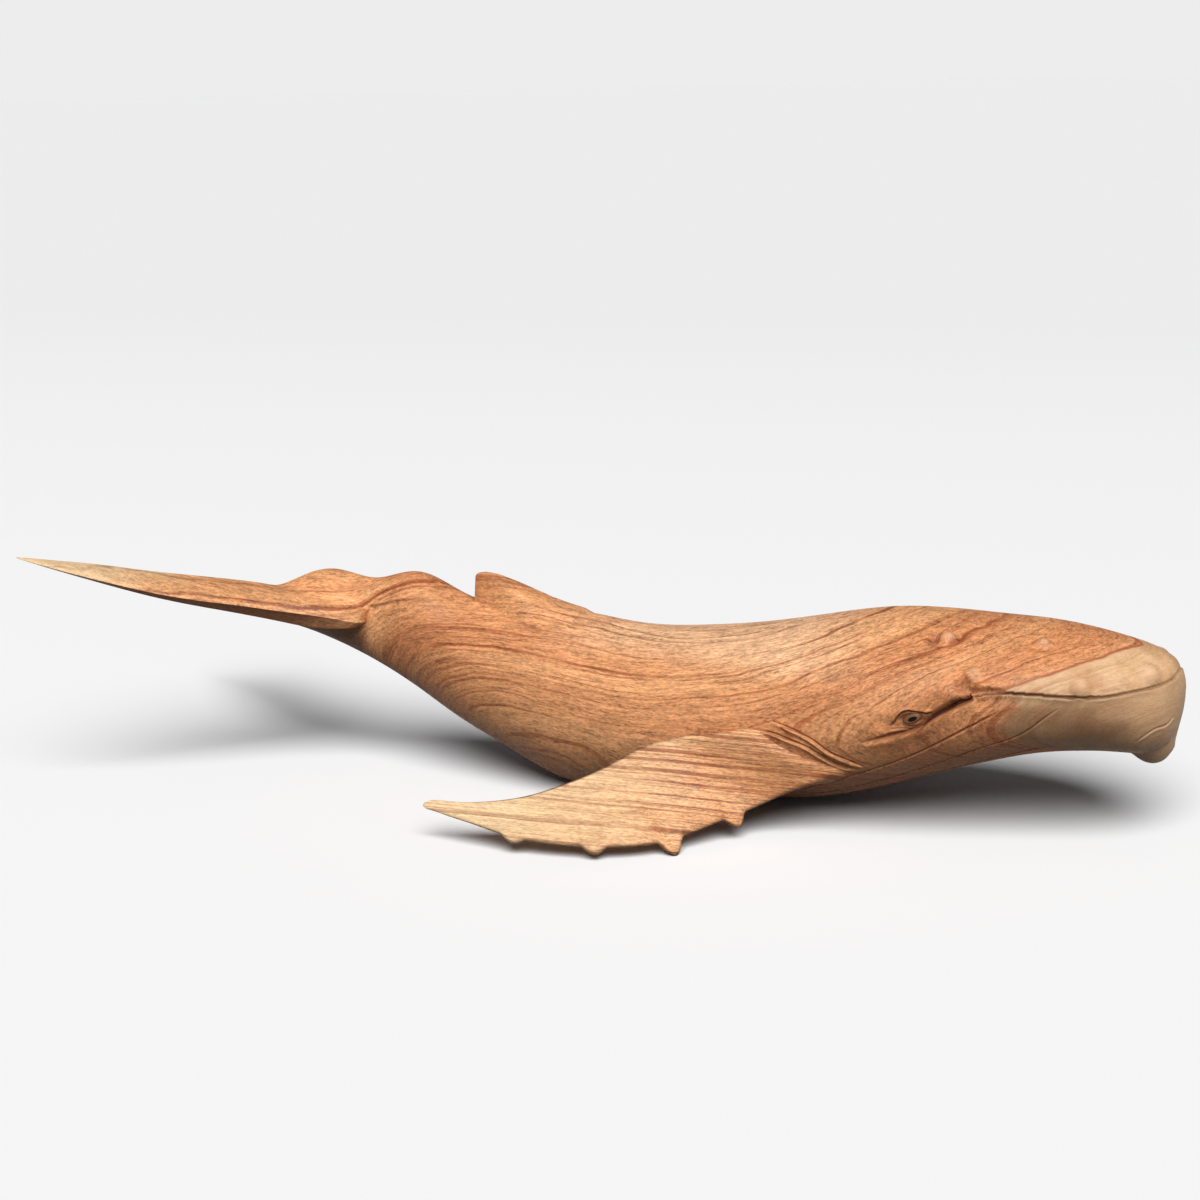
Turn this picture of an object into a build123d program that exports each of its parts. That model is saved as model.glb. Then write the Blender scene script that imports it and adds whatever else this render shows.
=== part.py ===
from build123d import *
import os

# A carved hardwood humpback whale, in millimetres. +X runs to the head and +Z is up.
# The origin is the middle of the flat that the belly rests on, and the right side is on -Y.

os.makedirs("parts", exist_ok=True)

# Body
body_length = 285.0
body_width = 84.0
body_height = 68.0
nose_ahead_share = 0.607
half_share = 0.5

# Cross sections of the body, from the nose to the tail joint. Each row holds the place along
# body_length, the half width in body_width, the back and the belly in body_height, and how
# full the back and the belly are, from 0 for a pointed curve to 1 for a square one.
body_shares = (
    (0.000, 0.050, 0.765, 0.650, 0.60, 0.60),
    (0.010, 0.149, 0.838, 0.456, 0.60, 0.60),
    (0.032, 0.232, 0.885, 0.390, 0.58, 0.58),
    (0.063, 0.310, 0.921, 0.400, 0.58, 0.56),
    (0.105, 0.369, 0.953, 0.399, 0.58, 0.56),
    (0.154, 0.411, 0.979, 0.374, 0.58, 0.56),
    (0.210, 0.446, 0.990, 0.312, 0.58, 0.56),
    (0.277, 0.476, 1.000, 0.224, 0.58, 0.56),
    (0.344, 0.494, 0.991, 0.121, 0.58, 0.52),
    (0.421, 0.500, 0.935, 0.041, 0.58, 0.50),
    (0.502, 0.488, 0.872, 0.005, 0.58, 0.50),
    (0.582, 0.458, 0.834, -0.012, 0.58, 0.54),
    (0.660, 0.411, 0.828, -0.012, 0.58, 0.56),
    (0.737, 0.351, 0.874, 0.000, 0.58, 0.56),
    (0.814, 0.286, 0.890, 0.134, 0.58, 0.56),
    (0.891, 0.214, 0.935, 0.284, 0.58, 0.56),
    (0.944, 0.161, 1.030, 0.410, 0.58, 0.56),
    (1.000, 0.135, 0.997, 0.532, 0.58, 0.56),
)

# Mouth: a groove along both jaws that meets round the nose
mouth_groove_width = 1.2
mouth_groove_depth = 1.0
mouth_shares = ((0.215, 0.771), (0.160, 0.769), (0.110, 0.755), (0.060, 0.751), (0.025, 0.768), (-0.015, 0.800))

# Head knobs and chin: places along body_length, out in body_width and up in body_height
head_knob_radius = 3.8
head_knob_shares = ((0.254, 0.232, 0.922), (0.148, 0.194, 0.914), (0.099, 0.322, 0.770), (0.033, 0.148, 0.806))
chin_knob_radius = 5.5
chin_knob_shares = (0.033, 0.421)

# Dorsal fin: its rear foot on the back, then its outline forward in fin_length and up in fin_height
fin_length = 40.0
fin_height = 11.5
fin_thickness = 9.0
fin_edge_radius = 2.0
fin_foot_shares = (0.866, 0.890)
fin_outline_shares = ((0.00, -0.70), (0.03, 0.96), (0.20, 1.00), (0.38, 0.80), (0.68, 0.28), (1.00, -0.25), (1.00, -0.70))

# Eyes: a pale oval inlay with a dark round plug, at the widest line of the head
eye_length = 6.0
eye_opening = 3.8
eye_depth = 4.5
eye_proud = 0.9
eye_rim_radius = 0.7
pupil_diameter = 2.6
pupil_depth = 2.5
pupil_proud = 0.4
inlay_clearance = 0.05
eye_station_share = 0.277

# Flippers: the frame stands at the root on the flank, turned back by flipper_sweep
flipper_reach = 103.0
flipper_back = 60.0
flipper_rise = 34.5
flipper_thickness = 6.0
flipper_sweep = 37.0
flipper_root_share = 0.425
flank_seat_share = 0.395
glue_gap = 0.15

# Sections of a flipper, from inside the flank to the tip: the place out in flipper_reach, the
# leading edge forward and up, the trailing edge forward and up, in flipper_back and flipper_rise,
# and the fullness over and under the line between them, in flipper_thickness.
flipper_shares = (
    (-0.100, 0.210, 0.570, -0.170, 1.000, 0.80, 0.80),
    (0.020, 0.083, 0.450, -0.158, 0.994, 0.72, 0.75),
    (0.136, -0.010, 0.275, -0.128, 0.994, 0.60, 0.60),
    (0.233, -0.030, 0.203, -0.193, 0.980, 0.52, 0.50),
    (0.350, -0.030, 0.146, -0.358, 0.893, 0.50, 0.48),
    (0.485, -0.038, 0.122, -0.517, 0.684, 0.50, 0.45),
    (0.621, -0.100, 0.120, -0.617, 0.516, 0.46, 0.38),
    (0.738, -0.233, 0.136, -0.703, 0.420, 0.40, 0.32),
    (0.835, -0.425, 0.162, -0.793, 0.383, 0.32, 0.25),
    (0.920, -0.680, 0.220, -0.900, 0.378, 0.23, 0.18),
    (0.980, -0.917, 0.293, -0.992, 0.365, 0.12, 0.10),
)
flipper_knob_radius = 3.0
flipper_knob_shares = ((0.193, -0.037, 0.185), (0.461, -0.012, 0.096), (0.670, -0.215, 0.108), (0.836, -0.540, 0.140))

# Tail fluke: the stock behind the joint and two lobes, rolled to the right and pitched up aft
stock_length = 50.0
fluke_half_span = 70.0
fluke_trail = 110.0
fluke_droop = 12.0
fluke_thickness = 9.0
fluke_roll = 16.5
fluke_pitch = 10.0
fluke_height_share = 0.838

# Cross sections of the stock behind the joint, as in body_shares but along stock_length
stock_shares = (
    (0.18, 0.119, 1.003, 0.596, 0.58, 0.56),
    (0.38, 0.102, 1.032, 0.644, 0.58, 0.56),
    (0.56, 0.095, 1.006, 0.676, 0.58, 0.56),
    (0.74, 0.083, 0.963, 0.713, 0.58, 0.56),
    (0.90, 0.062, 0.935, 0.772, 0.58, 0.56),
    (1.00, 0.030, 0.916, 0.846, 0.58, 0.56),
)

# Sections of a fluke lobe, from inside the stock to the tip: the place out in fluke_half_span,
# then as for a flipper, in fluke_trail, fluke_droop and fluke_thickness.
lobe_shares = (
    (0.000, -0.050, -0.208, -0.380, -0.225, 0.25, 0.50),
    (0.114, -0.030, -0.217, -0.460, -0.300, 0.30, 0.60),
    (0.179, -0.025, -0.350, -0.540, -0.350, 0.32, 0.66),
    (0.214, -0.060, -0.467, -0.560, -0.383, 0.30, 0.66),
    (0.271, -0.159, -0.583, -0.592, -0.425, 0.27, 0.66),
    (0.343, -0.247, -0.658, -0.633, -0.483, 0.25, 0.64),
    (0.429, -0.331, -0.708, -0.681, -0.542, 0.22, 0.60),
    (0.543, -0.430, -0.817, -0.745, -0.617, 0.20, 0.52),
    (0.657, -0.522, -0.950, -0.809, -0.692, 0.18, 0.42),
    (0.771, -0.628, -1.000, -0.876, -0.783, 0.16, 0.30),
    (0.871, -0.740, -1.017, -0.932, -0.858, 0.13, 0.20),
    (0.943, -0.860, -0.992, -0.969, -0.900, 0.09, 0.12),
    (0.993, -0.964, -0.958, -0.997, -0.950, 0.04, 0.05),
)

# Shape of a blade's section: where it is thickest, how round its curves are, how blunt it ends
blade_peak_share = 0.40
blade_round_share = 0.55
blade_end_share = 0.15

# Glue dowels: a flipper's lie along its root, and lean aft and down by shares of their way out
dowel_diameter = 4.0
dowel_length = 20.0
dowel_clearance = 0.1
dowel_end_room = 0.5
dowel_chamfer = 0.5
flipper_dowel_share = 0.45
flipper_dowel_shares = ((0.020, 0.610), (-0.075, 0.840))
flipper_dowel_lean_shares = (-0.18, -0.24)
fluke_dowel_shares = (0.620, 0.800)

overrun = 5.0

nose_x = body_length * nose_ahead_share
joint_x = nose_x - body_length


def cross_section(row, start, length, inset=0.0):
    """A section of the body: four curves that meet at the back, the flanks and the belly."""
    along, width, back, belly, back_fullness, belly_fullness = row
    reach = width * body_width - inset
    top = back * body_height - inset
    bottom = belly * body_height + inset
    side = (top + bottom) * half_share
    with BuildSketch(Plane.YZ.offset(start - along * length)) as section:
        with BuildLine():
            Bezier(
                (0, top),
                (back_fullness * reach, top),
                (reach, side + back_fullness * (top - side)),
                (reach, side),
            )
            Bezier(
                (reach, side),
                (reach, side - belly_fullness * (side - bottom)),
                (belly_fullness * reach, bottom),
                (0, bottom),
            )
            mirror(about=Plane.YZ)
        make_face()
    return section.sketch


def blade_section(row, frame, reach, chord, rise, thickness, margin=0.0):
    """A section of a blade: a lens from its leading edge over the top to its trailing edge."""
    out, lead_fore, lead_up, trail_fore, trail_up, over, under = row
    lead = Vector(lead_fore * chord, lead_up * rise)
    trail = Vector(trail_fore * chord, trail_up * rise)
    across = (trail - lead).normalized()
    lead = lead - across * margin
    trail = trail + across * margin
    up = Vector(across.Y, -across.X)
    back = trail - lead
    peak = lead + back * blade_peak_share
    high = up * (over * thickness + margin)
    low = up * -(under * thickness + margin)
    fore_pull = back * (blade_peak_share * blade_round_share)
    aft_pull = back * ((1 - blade_peak_share) * blade_round_share)
    end_pull = back * (blade_end_share * blade_round_share)
    with BuildSketch(frame.offset(out * reach)) as section:
        with BuildLine():
            Bezier(lead, lead + high * blade_round_share, peak + high - fore_pull, peak + high)
            Bezier(peak + high, peak + high + aft_pull, trail + high * blade_end_share - end_pull, trail)
            Bezier(trail, trail + low * blade_end_share - end_pull, peak + low + aft_pull, peak + low)
            Bezier(peak + low, peak + low - fore_pull, lead + low * blade_round_share, lead)
        make_face()
    return section.sketch


def body_point(along, out, up):
    """A place on the body, given in its length, width and height."""
    return (nose_x - along * body_length, out * body_width, up * body_height)


# Mouth groove: a thin curved plate, less a core that stands under the skin
mouth_points = [(nose_x - along * body_length, up * body_height) for along, up in mouth_shares]
mouth_core_rows = body_shares[1:10]

with BuildPart() as mouth_core:
    loft(sections=[cross_section(row, nose_x - mouth_groove_depth, body_length, mouth_groove_depth)
                   for row in mouth_core_rows])

with BuildPart() as mouth_groove:
    with BuildSketch(Plane.XZ):
        with BuildLine():
            upper_lip = Spline(mouth_points)
            lower_lip = Spline([(x, z - mouth_groove_width) for x, z in mouth_points])
            Line(upper_lip @ 0, lower_lip @ 0)
            Line(upper_lip @ 1, lower_lip @ 1)
        make_face()
    extrude(amount=body_width, both=True)
    add(mouth_core.part, mode=Mode.SUBTRACT)

# Dorsal fin, with rounded upper edges, sunk into the back at its foot
fin_foot = body_point(fin_foot_shares[0], 0, fin_foot_shares[1])
fin_outline = [(fin_foot[0] + fore * fin_length, fin_foot[2] + up * fin_height) for fore, up in fin_outline_shares]

with BuildPart() as dorsal_fin:
    with BuildSketch(Plane.XZ):
        with BuildLine():
            Line(fin_outline[0], fin_outline[1])
            Spline(fin_outline[1:-1])
            Polyline(fin_outline[-2], fin_outline[-1], fin_outline[0])
        make_face()
    extrude(amount=fin_thickness * half_share, both=True)
    fin_rims = dorsal_fin.edges().filter_by(GeomType.BSPLINE)
    fillet(fin_rims, radius=fin_edge_radius)

# Flippers. The frame's X is forward, its Y is up and its Z is out and back.
flank_seat = body_width * flank_seat_share
root_x = nose_x - body_length * flipper_root_share
flipper_frame = Plane(
    origin=(root_x, -flank_seat, 0),
    x_dir=Vector(1, 0, 0).rotate(Axis.Z, -flipper_sweep),
    z_dir=Vector(0, -1, 0).rotate(Axis.Z, -flipper_sweep),
)
flipper_sizes = (flipper_reach, flipper_back, flipper_rise, flipper_thickness)
seat_plane = Plane(origin=(root_x, -flank_seat, 0), x_dir=(1, 0, 0), z_dir=(0, -1, 0))
dowel_in_flipper = dowel_length * flipper_dowel_share
dowel_in_body = dowel_length - dowel_in_flipper
lean_aft, lean_down = flipper_dowel_lean_shares
dowel_way = flipper_frame.z_dir + flipper_frame.x_dir * lean_aft + flipper_frame.y_dir * lean_down

dowel_planes = [
    Plane(origin=flipper_frame.from_local_coords((fore * flipper_back, up * flipper_rise, 0)), z_dir=dowel_way)
    for fore, up in flipper_dowel_shares
]

with BuildPart() as flipper_dowel_holes:
    with BuildSketch(*[plane.offset(-dowel_in_body - dowel_end_room) for plane in dowel_planes]):
        Circle(dowel_diameter * half_share + dowel_clearance)
    extrude(amount=dowel_length + dowel_end_room * 2)

with BuildPart() as right_flipper:
    loft(sections=[blade_section(row, flipper_frame, *flipper_sizes) for row in flipper_shares])
    for out, fore, up in flipper_knob_shares:
        with Locations(flipper_frame.from_local_coords(
                (fore * flipper_back, up * flipper_rise, out * flipper_reach))):
            Sphere(flipper_knob_radius)
    split(bisect_by=seat_plane, keep=Keep.TOP)
    add(flipper_dowel_holes.part, mode=Mode.SUBTRACT)
right_flipper.part.label = "right_flipper"
export_step(right_flipper.part, "parts/right_flipper.step")

with BuildPart() as left_flipper:
    mirror(right_flipper.part, about=Plane.XZ)
left_flipper.part.label = "left_flipper"
export_step(left_flipper.part, "parts/left_flipper.step")

# The pocket that takes a flipper's root: the same blade with room for glue
with BuildPart() as flipper_pocket:
    loft(sections=[blade_section(row, flipper_frame, *flipper_sizes, glue_gap) for row in flipper_shares])
    split(bisect_by=seat_plane, keep=Keep.TOP)
    add(flipper_dowel_holes.part)
    mirror(about=Plane.XZ)

# Eyes, on the widest line of their section
eye_row = min(body_shares, key=lambda row: abs(row[0] - eye_station_share))
eye_x = nose_x - eye_row[0] * body_length
eye_y = eye_row[1] * body_width
eye_z = (eye_row[2] + eye_row[3]) * body_height * half_share
eye_plane = Plane(origin=(eye_x, -eye_y, eye_z), x_dir=(1, 0, 0), z_dir=(0, -1, 0))

with BuildPart() as right_eye:
    with BuildSketch(eye_plane.offset(-eye_depth)):
        Ellipse(eye_length * half_share, eye_opening * half_share)
    extrude(amount=eye_depth + eye_proud)
    fillet(right_eye.faces().sort_by(Axis.Y)[0].edges(), radius=eye_rim_radius)
    with BuildSketch(eye_plane.offset(-pupil_depth)):
        Circle(pupil_diameter * half_share + inlay_clearance)
    extrude(amount=pupil_depth + overrun, mode=Mode.SUBTRACT)
right_eye.part.label = "right_eye"
export_step(right_eye.part, "parts/right_eye.step")

with BuildPart() as right_pupil:
    with BuildSketch(eye_plane.offset(-pupil_depth)):
        Circle(pupil_diameter * half_share)
    extrude(amount=pupil_depth + eye_proud + pupil_proud)
    fillet(right_pupil.faces().sort_by(Axis.Y)[0].edges(), radius=pupil_proud)
right_pupil.part.label = "right_pupil"
export_step(right_pupil.part, "parts/right_pupil.step")

with BuildPart() as left_eye:
    mirror(right_eye.part, about=Plane.XZ)
left_eye.part.label = "left_eye"
export_step(left_eye.part, "parts/left_eye.step")

with BuildPart() as left_pupil:
    mirror(right_pupil.part, about=Plane.XZ)
left_pupil.part.label = "left_pupil"
export_step(left_pupil.part, "parts/left_pupil.step")

with BuildPart() as eye_sockets:
    with BuildSketch(eye_plane.offset(-eye_depth)):
        Ellipse(eye_length * half_share + inlay_clearance, eye_opening * half_share + inlay_clearance)
    extrude(amount=eye_depth + overrun)
    mirror(about=Plane.XZ)

# Fluke dowels lie along the stock, half on each side of the joint
fluke_dowel_heights = [share * body_height for share in fluke_dowel_shares]

with BuildPart() as fluke_dowel_holes:
    with Locations(*[(joint_x, 0, height) for height in fluke_dowel_heights]):
        Cylinder(
            radius=dowel_diameter * half_share + dowel_clearance,
            height=dowel_length + dowel_end_room * 2,
            rotation=(0, 90, 0),
        )

# Body: head, belly and stock in one carving, cut flat where it rests
with BuildPart() as body:
    loft(sections=[cross_section(row, nose_x, body_length) for row in body_shares])
    add(dorsal_fin.part)
    with Locations(*[body_point(along, side * out, up) for along, out, up in head_knob_shares for side in (1, -1)]):
        Sphere(head_knob_radius)
    with Locations(body_point(chin_knob_shares[0], 0, chin_knob_shares[1])):
        Sphere(chin_knob_radius)
    add(mouth_groove.part, mode=Mode.SUBTRACT)
    add(flipper_pocket.part, mode=Mode.SUBTRACT)
    add(eye_sockets.part, mode=Mode.SUBTRACT)
    add(fluke_dowel_holes.part, mode=Mode.SUBTRACT)
    split(bisect_by=Plane.XY, keep=Keep.TOP)
body.part.label = "body"
export_step(body.part, "parts/body.step")

# Tail fluke. The frame's X is out to the right, so that a lobe's sections stack along it.
fluke_centre = Plane(origin=(joint_x, 0, body_height * fluke_height_share)).rotated((-fluke_roll, fluke_pitch, 0))
lobe_frame = Plane(origin=fluke_centre.origin, x_dir=fluke_centre.x_dir, z_dir=-fluke_centre.y_dir)
lobe_sizes = (fluke_half_span, fluke_trail, fluke_droop, fluke_thickness)
stock_end_rows = [(0, *body_shares[-1][1:]), *stock_shares]

with BuildPart() as tail_fluke:
    loft(sections=[blade_section(row, lobe_frame, *lobe_sizes) for row in lobe_shares])
    mirror(about=lobe_frame)
    loft(sections=[cross_section(row, joint_x, stock_length) for row in stock_end_rows])
    split(bisect_by=Plane.YZ.offset(joint_x), keep=Keep.BOTTOM)
    add(fluke_dowel_holes.part, mode=Mode.SUBTRACT)
tail_fluke.part.label = "tail_fluke"
export_step(tail_fluke.part, "parts/tail_fluke.step")


def dowel(name, plane, start):
    """A glue dowel with chamfered ends that starts at start along the plane's normal."""
    with BuildPart() as peg:
        with BuildSketch(plane.offset(start)):
            Circle(dowel_diameter * half_share)
        extrude(amount=dowel_length)
        chamfer(peg.edges().filter_by(GeomType.CIRCLE), length=dowel_chamfer)
    peg.part.label = name
    export_step(peg.part, f"parts/{name}.step")
    return peg.part


for spot_name, plane in zip(("front", "rear"), dowel_planes):
    spot = plane.origin
    way = plane.z_dir
    left_plane = Plane(origin=(spot.X, -spot.Y, spot.Z), z_dir=(way.X, -way.Y, way.Z))
    dowel(f"right_flipper_{spot_name}_dowel", plane, -dowel_in_body)
    dowel(f"left_flipper_{spot_name}_dowel", left_plane, -dowel_in_body)

for spot_name, height in zip(("lower", "upper"), fluke_dowel_heights):
    stock_plane = Plane(origin=(joint_x, 0, height), z_dir=(1, 0, 0))
    dowel(f"fluke_{spot_name}_dowel", stock_plane, -dowel_length * half_share)
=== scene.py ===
# %% [markdown]
# # A carved hardwood humpback whale
# The whale lies on its belly. It is cut from one block of an open-pored tropical hardwood, and the
# two flippers and the tail fluke are glued on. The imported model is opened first.

# %% Open the frame
import math
import time

import bmesh
import bpy
import numpy as np
from mathutils import Matrix, Vector
from mathutils.bvhtree import BVHTree
from mathutils.kdtree import KDTree


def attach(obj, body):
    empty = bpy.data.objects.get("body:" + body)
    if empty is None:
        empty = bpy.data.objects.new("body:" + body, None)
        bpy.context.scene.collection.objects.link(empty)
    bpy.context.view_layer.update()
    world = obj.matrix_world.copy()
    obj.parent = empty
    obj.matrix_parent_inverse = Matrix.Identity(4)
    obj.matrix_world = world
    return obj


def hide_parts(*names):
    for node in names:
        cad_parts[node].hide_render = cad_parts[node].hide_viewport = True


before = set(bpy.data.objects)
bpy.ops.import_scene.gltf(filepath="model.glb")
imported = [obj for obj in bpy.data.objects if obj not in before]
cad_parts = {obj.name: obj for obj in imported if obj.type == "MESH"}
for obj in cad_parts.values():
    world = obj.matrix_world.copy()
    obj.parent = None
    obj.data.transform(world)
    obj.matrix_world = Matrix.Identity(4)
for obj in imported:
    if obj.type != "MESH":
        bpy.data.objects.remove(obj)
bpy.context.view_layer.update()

MM = 0.001
started = time.time()


def so_far():
    return f"seconds so far: {time.time() - started:.1f}"


# %% [markdown]
# ## Camera
# The whale is seen from its right side, a little ahead of it and a little above. The camera is made
# from those two angles, a small roll and a long lens, as the photographer stood well back.

# %% Camera
camera_azimuth = math.radians(22.0)
camera_elevation = math.radians(13.0)
camera_roll = math.radians(-1.5)
camera_distance = 800 * MM
camera_target = Vector((-27.0, 0.0, 64.8)) * MM
camera_lens = 68.9


def aim_camera():
    """A camera that looks at the target from the three angles above."""
    back = Vector((
        math.sin(camera_azimuth) * math.cos(camera_elevation),
        -math.cos(camera_azimuth) * math.cos(camera_elevation),
        math.sin(camera_elevation),
    ))
    level = Vector((0, 0, 1)).cross(back).normalized()
    upright = back.cross(level)
    right = level * math.cos(camera_roll) + upright * math.sin(camera_roll)
    up = upright * math.cos(camera_roll) - level * math.sin(camera_roll)
    camera = bpy.data.objects.new("camera", bpy.data.cameras.new("camera"))
    camera.data.lens = camera_lens
    camera.data.sensor_width = 36.0
    turn = Matrix((right, up, back)).transposed().to_4x4()
    camera.matrix_world = Matrix.Translation(camera_target + back * camera_distance) @ turn
    bpy.context.scene.collection.objects.link(camera)
    bpy.context.scene.camera = camera
    return camera


print("camera stands at", [round(c, 3) for c in aim_camera().matrix_world.translation])

# %% [markdown]
# ## The body's sections
# A carver saws the block to two outlines, one from the side and one from above, and then rounds the
# corners. The same idea gives the surface here: at each station along the whale there is a half
# width, a back, a belly and a number for how full the corners are. A smooth curve runs through the
# stations, so that any place between them can be asked for.

# %% Stations of the body, in millimetres
# along, half width, back, belly, fullness of the back, fullness of the belly
body_stations = np.array([
    (-158, 6.0, 61.5, 49.8, .58, .56), (-147, 7.5, 65.9, 48.2, .58, .56), (-132, 8.5, 70.0, 44.0, .58, .56),
    (-115, 10.5, 67.6, 37.5, .58, .56), (-97, 13.5, 70.7, 28.2, .58, .56), (-81, 18.0, 63.6, 19.3, .58, .56),
    (-59, 24.0, 60.5, 9.1, .58, .56), (-37, 29.5, 59.5, 0.0, .58, .56), (-15, 34.5, 56.3, -0.8, .58, .56),
    (7, 38.5, 56.7, -0.8, .58, .54), (30, 41.0, 59.3, 0.8, .58, .50), (53, 42.0, 63.6, 2.8, .58, .50),
    (75, 41.5, 67.4, 8.2, .58, .52), (95, 40.0, 68.0, 15.4, .58, .56), (113, 37.5, 67.3, 21.2, .58, .56),
    (129, 34.5, 66.6, 25.4, .58, .56), (143, 31.0, 64.8, 27.1, .58, .56), (155, 26.0, 62.6, 27.2, .58, .58),
    (164, 19.5, 60.2, 27.5, .58, .58), (170, 12.8, 57.2, 30.5, .60, .60),
])
last_station = 170.0
joint_x = -112.0


def smooth_curve(places, values):
    """A function for the natural cubic spline through the values at these places."""
    places, values = np.asarray(places, float), np.asarray(values, float)
    gap, rise = np.diff(places), np.diff(values)
    count = len(places)
    matrix, side = np.eye(count), np.zeros(count)
    for k in range(1, count - 1):
        matrix[k, k - 1:k + 2] = gap[k - 1], 2 * (gap[k - 1] + gap[k]), gap[k]
        side[k] = 6 * (rise[k] / gap[k] - rise[k - 1] / gap[k - 1])
    bend = np.linalg.solve(matrix, side)

    def at(place):
        place = np.asarray(place, float)
        k = np.clip(np.searchsorted(places, place) - 1, 0, count - 2)
        h, a, b = gap[k], places[k + 1] - place, place - places[k]
        return ((bend[k] * a ** 3 + bend[k + 1] * b ** 3) / (6 * h)
                + (values[k] / h - bend[k] * h / 6) * a + (values[k + 1] / h - bend[k + 1] * h / 6) * b)
    return at


body_curves = [smooth_curve(body_stations[:, 0], body_stations[:, k]) for k in range(1, 6)]
print("half width at the widest station:", round(float(body_curves[0](53)), 2), "mm")

# %% [markdown]
# ## The skin between the stations
# Each quarter of a section is one curve with four control points. The snout is past the last
# station. It narrows at a steady rate and then closes like the end of an egg.

# %% The skin between the stations
snout_start = 168.0
snout_end = 173.1
snout_height = 49.0
snout_narrows, snout_drops, chin_rises = 1.15, 0.5, 0.6


def section_point(half_width, back, belly, back_full, belly_full, share):
    """Out and up on a half section, where share runs from 0 at the back to 1 at the belly."""
    share = np.asarray(share, float)
    side = (back + belly) / 2
    upper = share <= 0.5
    t = np.where(upper, share * 2, share * 2 - 1)
    w0, w1, w2, w3 = (1 - t) ** 3, 3 * (1 - t) ** 2 * t, 3 * (1 - t) * t * t, t ** 3
    out = np.where(upper, (w1 * back_full + w2 + w3) * half_width, (w0 + w1 + w2 * belly_full) * half_width)
    rise = np.where(
        upper,
        (w0 + w1) * back + w2 * (side + back_full * (back - side)) + w3 * side,
        w0 * side + w1 * (side - belly_full * (side - belly)) + (w2 + w3) * belly,
    )
    return out, rise


def body_surface(along, share, side=-1):
    """Places on the body, in mm, on the right side (-1) or on the left (1)."""
    along = np.asarray(along, float)
    half_width, back, belly, *full = [curve(np.minimum(along, last_station)) for curve in body_curves]
    over = np.maximum(along - last_station, 0)
    half_width = half_width - over * snout_narrows
    back = back - over * snout_drops
    belly = belly + over * chin_rises
    q = np.clip((along - snout_start) / (snout_end - snout_start), 0, 1)
    close = np.sqrt(np.maximum(1 - q * q, 0))
    half_width = half_width * close
    back = snout_height + (back - snout_height) * close
    belly = snout_height + (belly - snout_height) * close
    out, rise = section_point(half_width, back, belly, *full, share)
    return np.stack([along, out * side, rise], -1)


def round_section(u):
    """How far down from the back, and whether on the right, for a turn from 0 to 1 round a section."""
    right = u <= 0.5
    return np.where(right, u * 2, 2 - u * 2), right


print("the tip of the snout:", body_surface(snout_end, 0.5).round(1))

# %% [markdown]
# ## Knife lines
# The mouth, the throat pleats, the fold under the eye, the lids and the folds round the flippers
# are knife cuts. Each is a list of places on the near flank, given as a distance along the whale
# and a share down from the back, so that it always lies on the surface. Each has a half width, a
# depth, how high the wood swells above and below it, how long its ends taper, and how much painted
# shade darkens it.

# %% Places of the knife lines
# name: (places, half width, depth, swell above, swell below, taper at the start, at the end, painted shade).
# Where a tuple stands for a number, the value changes along the line from the first to the last.
mouth_line = [
    (112.5, .418), (116.0, .411), (121.5, .409), (127.0, .415), (133.0, .420), (139.0, .422), (145.0, .419),
    (150.5, .411), (154.5, .396), (158.0, .376), (164.0, .340), (168.0, .300), (170.0, .252),
]
mouth_shape = (0.8, (1.2, 1.2, 0.4, 1.2, 1.2), -0.15, (0.9, 0.7, 0.1, 0.7, 0.9), 2, 2,
               (1.25, 0.8, 0.5, 0.8, 1.25))
fold_lines = {
    "eye_fold": ([
        (112.8, .418), (109.0, .435), (106.0, .450), (102.5, .470), (99.0, .495), (96.5, .513), (93.5, .526),
        (90.0, .536), (86.0, .545), (82.0, .551), (77.5, .556),
    ], (2.3, 1.2), (2.4, 1.0), -0.1, (1.0, 0.7), 1, 9, (1.15, 1.35, 1.1, 0.75, 0.5)),
}
pleat_lines = {
    "long_pleat": ([
        (121.3, .487), (113.7, .535), (107.7, .570), (99.3, .618), (84.8, .675), (70.9, .708), (58.4, .738),
        (44.0, .765), (25.0, .790),
    ], 0.65, 0.75, 0.0, 0.12, 5, 8, 0.55),
    "throat_pleat": ([
        (138.9, .478), (132.4, .560), (126.4, .623), (113.6, .675), (101.2, .725), (84.0, .770), (66.0, .800),
        (48.0, .825),
    ], 0.55, 0.55, 0.0, 0.10, 6, 8, 0.45),
    "short_pleat": ([(117.1, .667), (112.7, .682), (104.4, .725)], 0.45, 0.35, 0.0, 0.0, 3, 3, 0.4),
    "low_pleat": ([
        (134.0, .735), (122.0, .782), (104.0, .825), (84.0, .855), (62.0, .875),
    ], 0.55, 0.5, 0.0, 0.1, 6, 8, 0.4),
    "keel_pleat": ([
        (148.0, .850), (128.0, .880), (106.0, .905), (84.0, .925), (64.0, .935),
    ], 0.55, 0.5, 0.0, 0.1, 6, 8, 0.4),
    "chin_line": ([
        (171.0, .600), (169.6, .603), (166.4, .598), (163.2, .635), (160.5, .680),
    ], 0.6, 0.5, 0.0, 0.2, 2, 3, 0.3),
}
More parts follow.
